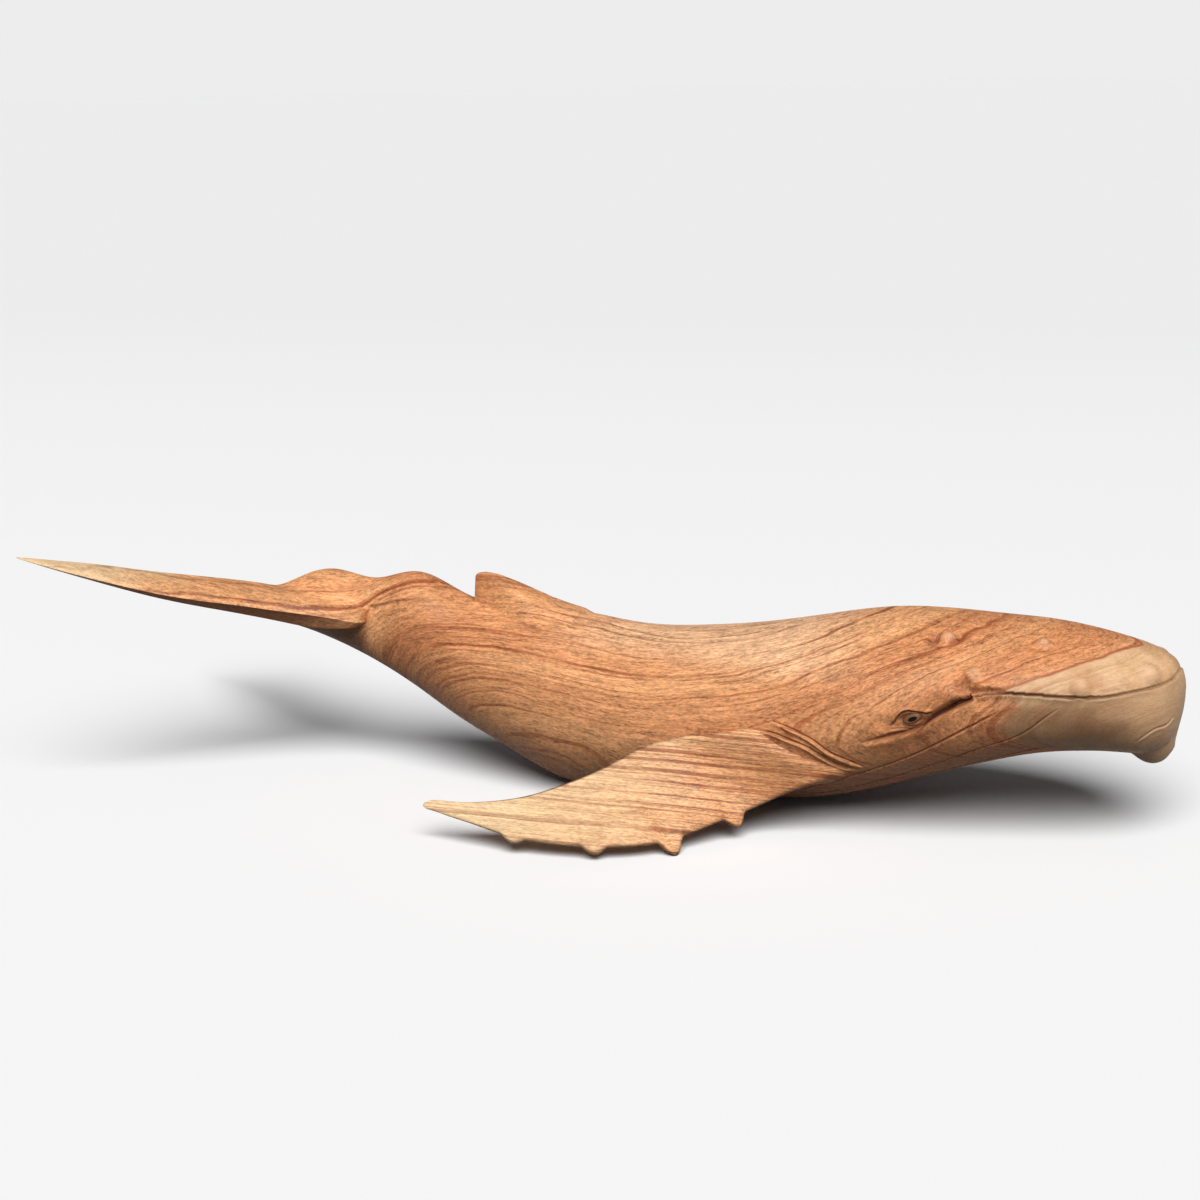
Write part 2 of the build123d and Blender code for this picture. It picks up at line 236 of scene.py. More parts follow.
lid_lines = {
    "upper_lid": ([
        (87.6, .508), (89.2, .486), (90.7, .466), (92.6, .459), (94.5, .464), (96.7, .470), (98.6, .477),
        (100.2, .470),
    ], 0.6, 0.8, 0.35, -0.1, 1, 1, 1.0),
    "lower_lid": ([
        (90.5, .511), (92.5, .515), (95.0, .513), (97.2, .505), (99.2, .498),
    ], 0.5, 0.6, -0.1, 0.1, 1, 1, 1.0),
    "lower_sliver": ([
        (86.2, .524), (88.0, .522), (90.0, .520), (92.8, .522),
    ], 0.45, 0.25, 0.0, 0.5, 2, 1, 0.3),
}
root_lines = {
    "inner_root_fold": ([
        (44.0, .468), (48.0, .476), (53.4, .500), (59.8, .538), (66.9, .607), (72.4, .655), (75.5, .672),
    ], 0.6, 0.8, 0.0, 0.9, 5, 4, 0.5),
    "outer_root_fold": ([
        (48.0, .438), (52.5, .458), (57.4, .484), (62.4, .519), (67.0, .569), (73.0, .620), (77.5, .664),
    ], 0.6, 0.8, 0.0, 0.9, 5, 4, 0.45),
}
print("kinds of knife line:", 1 + sum(len(g) for g in (fold_lines, pleat_lines, lid_lines, root_lines)))

# %% [markdown]
# ## From places to lines
# The places are joined by a smooth curve, and the line is then walked in even steps.

# %% Lines on the skin
line_step = 0.4


def way_along(points):
    """How far along a line each of its points is."""
    return np.concatenate([[0], np.cumsum(np.linalg.norm(np.diff(points, axis=0), axis=1))])


def even_steps(length):
    return np.linspace(0, length, max(int(length / line_step), 4))


def through(points):
    """A smooth line through points, as many as its length needs."""
    way = way_along(points)
    along = even_steps(way[-1])
    return np.stack([smooth_curve(way, column)(along) for column in points.T], -1)


def on_flank(places, side=-1):
    """A line on the body through (along, share) places."""
    columns = np.transpose(places)
    way = way_along(body_surface(*columns))
    along, share = [smooth_curve(way, column) for column in columns]
    steps = even_steps(way[-1])
    return body_surface(along(steps), share(steps), side)


print("the long pleat is", round(line_step * len(on_flank(pleat_lines["long_pleat"][0]))), "mm long")

# %% [markdown]
# ## The mouth
# The mouth runs from one corner, round the tip of the snout, to the other corner. Two places at the
# tip are given freely, so the whole line is moved onto the skin.

# %% The mouth
lip_edge = (171.3, -4.4, 54.3)
lip_middle = (171.7, 0.0, 54.9)


def nearest_of(points):
    """A tree that finds the nearest of many points."""
    tree = KDTree(len(points))
    for k, p in enumerate(points):
        tree.insert(p, k)
    tree.balance()
    return tree


def onto_body(line):
    """Moves each place of a line to the nearest place on the head's plain skin."""
    along, share = np.meshgrid(np.linspace(100, snout_end, 740), np.linspace(0, 1, 240), indexing="ij")
    skin_places = np.vstack([body_surface(along, share, side).reshape(-1, 3) for side in (-1, 1)])
    tree = nearest_of(skin_places)
    return np.array([tuple(tree.find(p)[0]) for p in line])


def both(line):
    """A line and its mirror image."""
    return np.vstack([line, line * (1, -1, 1)])


near_mouth = on_flank(mouth_line)
half_mouth = np.vstack([near_mouth[:-8:12], near_mouth[-1:], [lip_edge]])
whole_mouth = onto_body(through(np.vstack([half_mouth, [lip_middle], half_mouth[::-1] * (1, -1, 1)])))
print("the mouth is", round(line_step * len(whole_mouth)), "mm long")

# %% [markdown]
# ## Knobs
# A humpback's head carries rounded knobs. They are left standing when the head is cut down round
# them, and a shallow ring is cut round the foot of most of them.

# %% Places of the knobs
# place, radius, height, depth of the ring round it
head_knobs = [
    ((100.7, .158), 3.9, 1.3, 0.7), ((130.9, .152), 3.7, 1.2, 0.6), ((144.8, .367), 4.2, 1.3, 0.3),
    ((164.0, .235), 4.6, 1.2, 0.2), ((112.2, .322), 3.3, 1.2, 0.0),
]
chin_knob = ((163.8, 0.0, 27.0), 9.8, 4.6, 0.0)
top_knobs_above = 0.2  # knobs with a smaller share than this are on top of the head
far_side_lower = 0.18  # and on the far side they sit lower by this share, where the photo hides them
print("knobs on the head:", 2 * len(head_knobs) + 1)

# %% [markdown]
# ## A net that is fine where the knife went
# The flank can be smooth and coarse, but a cut a millimetre wide needs a net of a third of that.
# So the body starts as a coarse net, and each mesh of it that lies near a cut is quartered, up to
# three times.

# %% The net
levels = 3
fine = 2 ** levels
net_long = 132
net_round = 96
snout_cells = 5
snout_reach = 8.0


def net_along(v):
    """The place along the whale for a count of meshes from the joint, which crowd at the snout."""
    straight = net_long - snout_cells
    q = np.clip((v - straight) / snout_cells, 0, 1)
    x0 = snout_end - snout_reach
    return np.where(v <= straight, joint_x + (x0 - joint_x) * v / straight,
                    x0 + snout_reach * np.sin(q * math.pi / 2))


def net_place(i, j):
    """A corner of the finest net, in mm."""
    share, right = round_section(np.asarray(j) / (net_round * fine))
    place = body_surface(net_along(np.asarray(i) / fine), share)
    place[..., 1] = np.where(right, place[..., 1], -place[..., 1])
    return place


def refine(need):
    """Quarter the meshes for which need(centres, level) is true, and return them as (level, i, j)."""
    cells = [(0, i * fine, j * fine) for i in range(net_long) for j in range(net_round)]
    done = []
    for level in range(levels):
        half = fine >> (level + 1)
        grid = np.array([(i + half, j + half) for _, i, j in cells])
        wanted = need(net_place(*grid.T), level)
        done += [cell for cell, want in zip(cells, wanted) if not want]
        cells = [
            (level + 1, i + a, j + b)
            for (_, i, j), want in zip(cells, wanted) if want
            for a in (0, half) for b in (0, half)
        ]
    return done + cells


print("a coarse mesh is", round(float(net_along(1) - net_along(0)), 2), "mm long, the finest",
      round(float(net_along(1) - net_along(0)) / fine, 2))

# %% [markdown]
# ## The net as a mesh
# A mesh of the net that lies next to smaller ones simply takes their corners into its own outline,
# which keeps the skin closed.

# %% The net as a mesh
def net_mesh(name, cells):
    """The mesh of a refined net, closed at the snout by its pole and flat at the joint."""
    turn = net_round * fine
    corners = set()
    for level, i, j in cells:
        s = fine >> level
        corners.update(((i, j), (i + s, j), (i, (j + s) % turn), (i + s, (j + s) % turn)))
    pole = net_long * fine
    index, order = {}, []

    def number(corner):
        corner = (corner[0], 0) if corner[0] == pole else corner
        if corner not in index:
            index[corner] = len(order)
            order.append(corner)
        return index[corner]

    def between(a, b):
        """The corners that other meshes put on the edge from a to b, a first and b left out."""
        middle = ((a[0] + b[0]) // 2, (a[1] + b[1]) // 2)
        if abs(a[0] - b[0]) + abs(a[1] - b[1]) < 2 or (middle[0], middle[1] % turn) not in corners:
            return [a]
        return between(a, middle) + between(middle, b)

    faces = []
    for level, i, j in cells:
        s = fine >> level
        ring = [(i, j), (i, j + s), (i + s, j + s), (i + s, j)]
        outline = sum((between(ring[k], ring[(k + 1) % 4]) for k in range(4)), [])
        face = []
        for a, b in outline:
            n = number((a, b % turn))
            if n not in face:
                face.append(n)
        faces.append(face)
    rim = sorted((c for c in corners if c[0] == 0), key=lambda c: c[1])
    cap = [len(order) + k for k in range(len(rim))]
    faces.append(cap[::-1])
    places = np.vstack([net_place(*np.transpose(order)), net_place(*np.transpose(rim))])
    mesh = bpy.data.meshes.new(name)
    mesh.from_pydata((places * MM).tolist(), [], faces)
    mesh.update()
    return mesh


print("a net can become a mesh")

# %% [markdown]
# ## Where the net is fine
# The net is fine near the cuts and the knobs, and in three boxes: the dorsal fin, its upright rear
# edge, and the ridge on the stock.

# %% Where the net is fine
# a mesh nearer than this to a cut or a knob is quartered, in mm at each level
cut_reaches = (7.0, 3.2, 1.5)
knob_reaches = (9.0, 6.5, 0.0)
# x from, x to, half width, z from, number of levels
fine_boxes = [(-79, -38, 14, 48, 2), (-77, -71, 8, 50, 3), (-math.inf, -84, math.inf, 40, 2)]

line_groups = (fold_lines, pleat_lines, lid_lines, root_lines)
cut_lines = [whole_mouth] + [both(on_flank(line[0])) for group in line_groups for line in group.values()]
cut_tree = nearest_of(np.vstack(cut_lines))
knob_places = np.array([body_surface(*place) for place, *_ in head_knobs] + [chin_knob[0]])
knob_tree = nearest_of(both(knob_places))


def within(tree, centres, reach):
    return np.array([tree.find(c)[2] for c in centres]) < reach


def need(centres, level):
    """Whether a mesh is near a cut or a knob, or in a box that is fine."""
    x, y, z = centres.T
    wanted = within(cut_tree, centres, cut_reaches[level]) | within(knob_tree, centres, knob_reaches[level])
    for start, end, half, low, most in fine_boxes:
        wanted |= (x > start) & (x < end) & (abs(y) < half) & (z > low) & (level < most)
    return wanted


body_net = net_mesh("body_wood", refine(need))
print("the body's net has", len(body_net.polygons), "meshes and", len(body_net.vertices), "corners")

# %% [markdown]
# ## Small tools for meshes
# Blender keeps a mesh's corners in metres, and can keep any other number at each of them. These
# tools read and move the corners in millimetres, and store a number or a place at each.

# %% Small tools for meshes
def as_object(name, mesh):
    piece = bpy.data.objects.new(name, mesh)
    bpy.context.scene.collection.objects.link(piece)
    return piece


def corners_of(mesh):
    """The places of a mesh's corners, in mm."""
    places = np.zeros(len(mesh.vertices) * 3)
    mesh.vertices.foreach_get("co", places)
    return places.reshape(-1, 3) / MM


def move_corners(mesh, places):
    mesh.vertices.foreach_set("co", (places * MM).ravel())
    mesh.update()


def store(mesh, name, values):
    """Keeps a number, or a place, at each corner of a mesh."""
    values = np.asarray(values, float)
    kind, field = ("FLOAT", "value") if values.ndim == 1 else ("FLOAT_VECTOR", "vector")
    mesh.attributes.new(name, kind, "POINT").data.foreach_set(field, values.ravel())


def stop_at(piece, height):
    """No corner of a piece goes below this height, in mm."""
    for vertex in piece.data.vertices:
        vertex.co.z = max(vertex.co.z, height * MM)


def smooth(piece):
    for polygon in piece.data.polygons:
        polygon.use_smooth = True
    return piece


def mirror_image(mesh):
    """The same mesh for the other side of the whale."""
    other = mesh.copy()
    other.transform(Matrix.Scale(-1, 4, (0, 1, 0)))
    other.flip_normals()
    return other


def drop(thing):
    bpy.data.objects.remove(thing)


print("first corner of the net, in mm:", corners_of(body_net)[0].round(2))

# %% [markdown]
# ## Node trees in a few words
# The carving, the knobs and the wood itself are node trees. This helper adds a node, joins its
# inputs and hands back its output, so that a tree reads like a formula.

# %% A helper for node trees
class Tree:
    """A node tree that is written as formulas."""

    def __init__(self, tree):
        self.tree = tree

    def join(self, value, socket):
        """Gives a socket a value, or a link to another node's output."""
        if isinstance(value, bpy.types.NodeSocket):
            self.tree.links.new(value, socket)
        else:
            socket.default_value = value

    def add(self, kind, inputs=(), out=0, **settings):
        node = self.tree.nodes.new(kind)
        for key, value in settings.items():
            setattr(node, key, value)
        for key, value in (inputs.items() if isinstance(inputs, dict) else enumerate(inputs)):
            self.join(value, node.inputs[key])
        return node.outputs[out]

    def math(self, operation, *values, clamp=False):
        return self.add("ShaderNodeMath", values, operation=operation, use_clamp=clamp)

    def plus(self, a, b):
        return self.math("ADD", a, b)

    def minus(self, a, b, clamp=False):
        return self.math("SUBTRACT", a, b, clamp=clamp)

    def times(self, a, b, clamp=False):
        return self.math("MULTIPLY", a, b, clamp=clamp)

    def square(self, a):
        return self.times(a, a)

    def vector(self, operation, *values):
        out = "Value" if operation in ("DOT_PRODUCT", "LENGTH", "DISTANCE") else "Vector"
        return self.add("ShaderNodeVectorMath", values, out, operation=operation)

    def scale(self, vector, factor):
        return self.add("ShaderNodeVectorMath", {0: vector, "Scale": factor}, "Vector", operation="SCALE")

    def ramp(self, value, low, high, to_low=0.0, to_high=1.0):
        """A smooth step of value from low to high."""
        inputs = {"Value": value, "From Min": low, "From Max": high, "To Min": to_low, "To Max": to_high}
        return self.add("ShaderNodeMapRange", inputs, interpolation_type="SMOOTHSTEP")


print("trees are written as formulas")

# %% [markdown]
# ## Trees that change a mesh
# A Geometry Nodes tree gets a mesh and some named inputs, and hands a changed mesh back. The result
# is kept as the piece's plain mesh, and the tree is taken off the piece.

# %% Trees that change a mesh
def geometry_tree(name, inputs):
    """A Geometry Nodes group with a mesh in, a mesh out and these named inputs."""
    group = bpy.data.node_groups.new(name, "GeometryNodeTree")
    group.interface.new_socket("Geometry", in_out="INPUT", socket_type="NodeSocketGeometry")
    group.interface.new_socket("Geometry", in_out="OUTPUT", socket_type="NodeSocketGeometry")
    for label, kind in inputs.items():
        group.interface.new_socket(label, in_out="INPUT", socket_type=kind)
    return Tree(group), group.nodes.new("NodeGroupInput").outputs


def close_tree(tree, geometry, material):
    """Ends a tree in Realize Instances and Set Material."""
    real = tree.add("GeometryNodeRealizeInstances", [geometry])
    painted = tree.add("GeometryNodeSetMaterial", {"Geometry": real, "Material": material})
    tree.join(painted, tree.tree.nodes.new("NodeGroupOutput").inputs[0])
    return tree.tree


def run_tree(piece, group, **values):
    """Runs a tree on a piece and keeps the result as its mesh."""
    modifier = piece.modifiers.new(group.name, "NODES")
    modifier.node_group = group
    for item in group.interface.items_tree:
        if item.in_out == "INPUT" and item.name in values:
            modifier[item.identifier] = values[item.name]
    keep_result(piece)


def keep_result(piece):
    """Makes what a piece's modifiers show its mesh, and takes them off."""
    graph = bpy.context.evaluated_depsgraph_get()
    mesh = bpy.data.meshes.new_from_object(piece.evaluated_get(graph), depsgraph=graph)
    piece.modifiers.clear()
    piece.data = mesh


print("trees can change a mesh")

# %% [markdown]
# ## What a tree can ask and do
# A tree can look at a second object, such as a set of lines, and ask for what is stored at its
# nearest point. It can then lift the skin along its normals, and store a number of its own.

# %% What a tree can ask and do
def stored(tree, name, kind="FLOAT"):
    """What is stored under a name at each corner."""
    return tree.add("GeometryNodeInputNamedAttribute", {"Name": name}, data_type=kind)


def mesh_of(tree, socket):
    return tree.add("GeometryNodeObjectInfo", {"Object": socket}, "Geometry", transform_space="ORIGINAL")


def nearest(tree, points, place):
    inputs = {"Geometry": points, "Sample Position": place}
    return tree.add("GeometryNodeSampleNearest", inputs, domain="POINT")


def sample(tree, points, index, value, kind="FLOAT"):
    """A value at one numbered point of another mesh."""
    inputs = {"Geometry": points, "Value": value, "Index": index}
    return tree.add("GeometryNodeSampleIndex", inputs, data_type=kind, domain="POINT")


def lift(tree, geometry, rise):
    """Moves each corner out along its normal."""
    offset = tree.scale(tree.add("GeometryNodeInputNormal"), rise)
    return tree.add("GeometryNodeSetPosition", {"Geometry": geometry, "Offset": offset})


def keep(tree, geometry, name, value):
    inputs = {"Geometry": geometry, "Name": name, "Value": value}
    return tree.add("GeometryNodeStoreNamedAttribute", inputs, data_type="FLOAT", domain="POINT")


print("trees can ask, lift and store")

# %% [markdown]
# ## The knife, as a tree
# For each corner of the skin the tree finds the nearest place on a set of lines, which side of the
# line it is on and how far away. Close to the line the skin goes down, in a V for a cut and in a
# bowl for a hollow. Just beside the line it can swell, as wood does that is left standing.

# %% The carving tree
painted_shade_fades = 0.8  # the painted shade reaches a little past the cut's own half width


def carving_tree():
    tree, given = geometry_tree("carve_lines", {
        "Lines": "NodeSocketObject", "Roundness": "NodeSocketFloat", "Material": "NodeSocketMaterial"})
    lines = mesh_of(tree, given["Lines"])
    place = stored(tree, "uncut", "FLOAT_VECTOR")
    on_line = tree.add("GeometryNodeProximity", {0: lines, "Source Position": place}, "Position",
                       target_element="EDGES")
    away = tree.vector("SUBTRACT", place, on_line)
    index = nearest(tree, lines, place)
    wide, deep, upper, lower, oil = [
        sample(tree, lines, index, stored(tree, name))
        for name in ("half_width", "depth", "swell_above", "swell_below", "oil")]
    q = tree.math("DIVIDE", tree.vector("LENGTH", away), wide)
    bowl = tree.minus(1.0, tree.math("POWER", q, given["Roundness"]), clamp=True)
    cut = tree.times(tree.square(bowl), deep)
    hump = tree.square(tree.times(q, tree.math("EXPONENT", tree.minus(1.0, q))))
    above = tree.math("GREATER_THAN", tree.vector("DOT_PRODUCT", away, (0.0, 0.0, 1.0)), 0.0)
    swell = tree.add("ShaderNodeMix", {"Factor": above, "A": lower, "B": upper}, data_type="FLOAT")
    moved = lift(tree, given["Geometry"], tree.minus(tree.times(hump, swell), cut))
    # painted shade: darkest in a cut, fading out just beside it
    left = tree.times(tree.minus(1.0, tree.times(q, painted_shade_fades), clamp=True), oil)
    shaded = keep(tree, moved, "stain", tree.math("MAXIMUM", stored(tree, "stain"), left))
    return close_tree(tree, shaded, given["Material"])


carve_lines = carving_tree()
print("nodes in the knife:", len(carve_lines.nodes))

# %% [markdown]
# ## The knobs, as a tree
# A knob is a dome over its nearest corners. A ring is cut just outside its foot, and its top is
# painted paler: a painted highlight, with some wear of the hands that rub it.

# %% The tree for the knobs
ring_place = 1.05  # the ring's middle, in radii from the knob's centre
ring_sharpness = 3.2
highlight_and_wear_reach = 0.85  # the pale top's edge, in radii
highlight_and_wear_slope = 1.6


def knob_raising_tree():
    """Raises a dome of its own radius and height at each knob, with a ring cut round its foot."""
    tree, given = geometry_tree("raise_knobs", {
        "Knobs": "NodeSocketObject", "Material": "NodeSocketMaterial"})
    knobs = mesh_of(tree, given["Knobs"])
    place = stored(tree, "uncut", "FLOAT_VECTOR")
    index = nearest(tree, knobs, place)
    centre = sample(tree, knobs, index, tree.add("GeometryNodeInputPosition"), "FLOAT_VECTOR")
    radius, height, ring = [
        sample(tree, knobs, index, stored(tree, name)) for name in ("radius", "height", "ring")]
    q = tree.math("DIVIDE", tree.vector("DISTANCE", place, centre), radius)
    dome = tree.times(tree.square(tree.minus(1.0, tree.square(q), clamp=True)), height)
    off = tree.times(tree.minus(q, ring_place), ring_sharpness)
    groove = tree.math("EXPONENT", tree.times(tree.square(off), -1.0))
    moved = lift(tree, given["Geometry"], tree.minus(dome, tree.times(groove, ring)))
    # painted highlight on the knob's top, with some wear
    top = tree.times(tree.minus(highlight_and_wear_reach, q, clamp=True), highlight_and_wear_slope, clamp=True)
    return close_tree(tree, keep(tree, moved, "worn", top), given["Material"])


raise_knobs = knob_raising_tree()
print("nodes in the knob maker:", len(raise_knobs.nodes))

# %% [markdown]
# ## Lines and points for the trees
# The trees read the lines and the knobs from small helper objects, which hold each cut's width,
# depth and stain at its points. They are deleted once the skin is cut.

# %% Helper objects
def tapered(count, start, end):
    """One along a line, and down to zero over its first and last millimetres."""
    way = np.arange(count) * line_step
    rise = np.clip(way / start, 0, 1) if start else np.ones(count)
    fall = np.clip((way[-1] - way) / end, 0, 1) if end else np.ones(count)
    return np.minimum(rise, fall) ** 0.7


def spread(value, count):
    """A value for each place on a line: the same one, or running evenly through a tuple's values."""
    marks = value if isinstance(value, tuple) else (value, value)
    return np.interp(np.linspace(0, 1, count), np.linspace(0, 1, len(marks)), marks)


def line_object(name, lines):
    """Lines as one edge mesh. Each is (points, half width, depth, swells, tapers, painted shade), in mm."""
    points, edges = [], []
    values = {key: [] for key in ("half_width", "depth", "swell_above", "swell_below", "oil")}
    for line, half_width, depth, upper, lower, start, end, oil in lines:
        base, count = sum(len(p) for p in points), len(line)
        points.append(line)
        edges += [(base + k, base + k + 1) for k in range(count - 1)]
        taper = tapered(count, start, end)
        values["half_width"].append(spread(half_width, count) * MM)
        for key, value in (("depth", depth), ("swell_above", upper), ("swell_below", lower)):
            values[key].append(spread(value, count) * MM * taper)
        values["oil"].append(spread(oil, count) * taper)
    mesh = bpy.data.meshes.new(name)
    mesh.from_pydata((np.vstack(points) * MM).tolist(), edges, [])
    for key, rows in values.items():
        store(mesh, key, np.concatenate(rows))
    return as_object(name, mesh)


def point_object(name, knobs):
    """Knobs as loose points. Each is (place, radius, height, ring), in mm."""
    mesh = bpy.data.meshes.new(name)
    mesh.from_pydata([tuple(c * MM for c in place) for place, *_ in knobs], [], [])
    for k, key in enumerate(("radius", "height", "ring")):
        store(mesh, key, [knob[k + 1] * MM for knob in knobs])
    return as_object(name, mesh)


print("a cut 8 mm long tapers as", tapered(21, 3, 3)[::4].round(2))

# %% [markdown]
# ## Growth layers
# The block came from a curved limb, so its growth layers bow with the whale: down behind the
# dorsal fin, level at the flipper and up through the head. They come out as nested arches low on
# the flank. A smooth formula gives the layer at any place in the block, and it is kept at each
# corner of the finished skin, so that a knob cuts rings out of the layers as it does in real wood.

# %% Growth layers
# how the layers lie in the block: products of x, y and z, each in units of 100 mm, z from 40 mm
layer_terms = {
    "x": -15.15, "y": -29.17, "z": -19.82, "xx": 15.41, "xy": 4.22, "xz": 50.66, "yy": 52.34,
    "yz": 44.17, "zz": 23.75, "xxx": 18.78, "xxy": 2.01, "xxz": 4.67, "xyy": 34.71, "xyz": 2.09,
    "xzz": 37.74, "xxxx": -5.55, "zzz": -16.32, "yyy": -21.08, "yyz": -4.08, "yzz": -8.17, "xxxy": 1.57,
    "xxxz": -34.02, "xxzz": -21.28, "xxyz": 12.77,
}
formula_ends = (joint_x, -12, 44), (joint_x, 12, 70)  # in the tail, the formula holds between these
bend_reach = 12.0  # behind them the layers still bend for this far


def layer_formula(spots):
    """The sum of the terms at places in the block, in mm."""
    axes = {"x": spots[:, 0] / 100, "y": spots[:, 1] / 100, "z": (spots[:, 2] - 40) / 100}
    return sum(share * np.prod([axes[k] for k in term], axis=0) for term, share in layer_terms.items())


def layer_depth(places):
    """Depth in the growth layers at places in the block, in mm. In the tail they run on straight."""
    tail = places[:, 0] < joint_x
    held = np.where(tail[:, None], np.clip(places, *formula_ends), places)
    depth = layer_formula(held)
    for k, reach in enumerate((bend_reach, 1e9, 1e9)):
        half_step = np.eye(3)[k] * 0.5
        slope = (layer_formula(held + half_step) - layer_formula(held - half_step))
        away = places[:, k] - held[:, k]
        depth += slope * np.sign(away) * reach * (1 - np.exp(-abs(away) / reach))
    return depth


def keep_layers(piece):
    """Stores the layer depth at each corner of a carved piece, for its wood."""
    store(piece.data, "layer", layer_depth(corners_of(piece.data)))


print("layer depth from the flank to the belly:",
      [round(float(d)) for d in layer_depth(np.array([(0.0, -36.0, 30.0), (0.0, 0.0, 0.0)]))])

# %% [markdown]
# ## Colour and noise
# Colours are written as the eye sees them, from 0 to 255, and turned into light for the shader.
# Noise that is drawn out along the grain makes most of the wood.

# %% Tools for colour
def colour(red, green, blue):
    """A colour as it is seen, from 0 to 255, for a shader."""
    light = (((c / 255 + 0.055) / 1.055) ** 2.4 if c > 10 else c / 255 / 12.92 for c in (red, green, blue))
    return tuple(light) + (1.0,)


def blend(tree, share, first, second):
    """A mix of two colours."""
    node = tree.tree.nodes.new("ShaderNodeMix")
    node.data_type = "RGBA"
    for key, value in (("Factor_Float", share), ("A_Color", first), ("B_Color", second)):
        tree.join(value, next(i for i in node.inputs if i.identifier == key))
    return next(o for o in node.outputs if o.identifier == "Result_Color")


def noise(tree, vector, detail=2.0):
    inputs = {"Vector": vector, "Scale": 1.0, "Detail": detail, "Roughness": 0.5}
    return tree.add("ShaderNodeTexNoise", inputs)


def swing(tree, value, size):
    """Noise, made to swing as far below zero as above it."""
    return tree.times(tree.minus(value, 0.5), size)


def place_in_mm(tree):
    """The place on the piece, in mm."""
    return tree.vector("MULTIPLY", tree.add("ShaderNodeTexCoord", (), "Object"), (1000.0, 1000.0, 1000.0))


def stretched(tree, place, along, across, seed=0.0):
    """The place, scaled to so many waves per millimetre along the grain and across it."""
    scaled = tree.vector("MULTIPLY", place, (along, across, across))
    return tree.vector("ADD", scaled, (seed, seed * 1.7, seed * 0.3))


def new_material(name):
    """A material, its tree and its shader."""
    material = bpy.data.materials.new(name)
    material.use_nodes = True
    return material, Tree(material.node_tree), material.node_tree.nodes["Principled BSDF"].inputs


print("oiled heartwood as light:", [round(c, 3) for c in colour(232, 168, 116)])

# %% [markdown]
# ## Depth in the layers, as a tree
# A carved piece brings its own layer depth with it. A straight board needs none, as its layers are
# flat. Both get a slow wave and a quicker ripple, because no tree grows evenly.

# %% Depth in the layers, as a tree
def layers(tree, place, straight, waviness):
    """Depth in the layers, in mm and a little wavy: as kept on the piece, or flat in a straight board."""
    axes = tree.add("ShaderNodeSeparateXYZ", [place])
    x, y, z = [axes.node.outputs[k] for k in range(3)]
    slow = noise(tree, stretched(tree, place, 0.008, 0.022, 3.0), 1.0)
    ripple = noise(tree, stretched(tree, place, 0.035, 0.11, 7.0))
    wave = tree.plus(swing(tree, slow, waviness), swing(tree, ripple, waviness * 0.32))
    if straight:
        across = tree.plus(tree.times(y, -0.34), tree.times(z, -0.94))
        depth = tree.plus(across, tree.times(x, straight))
    else:
        depth = tree.add("ShaderNodeAttribute", (), "Fac", attribute_name="layer")
    return tree.plus(depth, wave), x, y, z


print("layers can bow or lie flat")

# %% [markdown]
# ## Oil, and painted light and shade
# Oiled wood has a soft shine that the fibres break up. The knobs' tops are painted paler, a painted
# highlight with some wear of hands, and painted shade darkens the cuts and hollows. Pores and fibres
# are far too small to model, so they are a slight bump.

# %% Oil, and painted light and shade
# the colour and strength of the painted highlight and wear on the knobs' tops
highlight_and_wear_colour, highlight_and_wear_strength = colour(244, 196, 158), 0.42
# the colour and strength of the painted shade in the cuts and hollows
painted_shade_colour, painted_shade_strength = colour(70, 32, 16), 0.92


def finish_with_painted_light(tree, shader, paint, fibre, speck, pores):
    """The paint with a painted highlight and wear on knobs and painted shade in cuts, over open fibres."""
    # painted highlight, with some wear, on the knobs' tops
    worn = tree.add("ShaderNodeAttribute", (), "Fac", attribute_name="worn")
    paint = blend(tree, tree.times(worn, highlight_and_wear_strength), paint, highlight_and_wear_colour)
    # painted shade in the cuts and hollows, and under the fluke
    stain = tree.add("ShaderNodeAttribute", (), "Fac", attribute_name="stain")
    paint = blend(tree, tree.times(stain, painted_shade_strength), paint, painted_shade_colour)
    relief = tree.plus(tree.times(fibre, 0.7), tree.times(speck, 0.4))
    relief = tree.minus(relief, tree.times(pores, 0.8))
    bump = {"Strength": 0.35, "Distance": 0.22 * MM, "Height": relief}
    tree.join(paint, shader["Base Color"])
    tree.join(tree.ramp(fibre, 0.25, 0.75, 0.44, 0.62), shader["Roughness"])
    tree.join(0.25, shader["Specular IOR Level"])
    tree.join(tree.add("ShaderNodeBump", bump, "Normal"), shader["Normal"])


# the strength of the painted shade in a cut
print("oil in a cut covers", painted_shade_strength, "of the wood's own colour")

# %% [markdown]
# ## The grain
# Broad bands follow the layers, with finer lines between them. Fibres and specks are drawn out along
# the layers, and the pores are short dark dashes. Four-dimensional noise does this: three of its
# numbers are the place, and the fourth is the depth in the layers, which changes fastest.

# %% The grain
heart_shades = colour(232, 168, 116), colour(212, 142, 94), colour(150, 76, 42), colour(112, 50, 26)
line_strength, thin_strength = 0.85, 0.62
pore_strength, pore_darkness = 0.38, 0.65


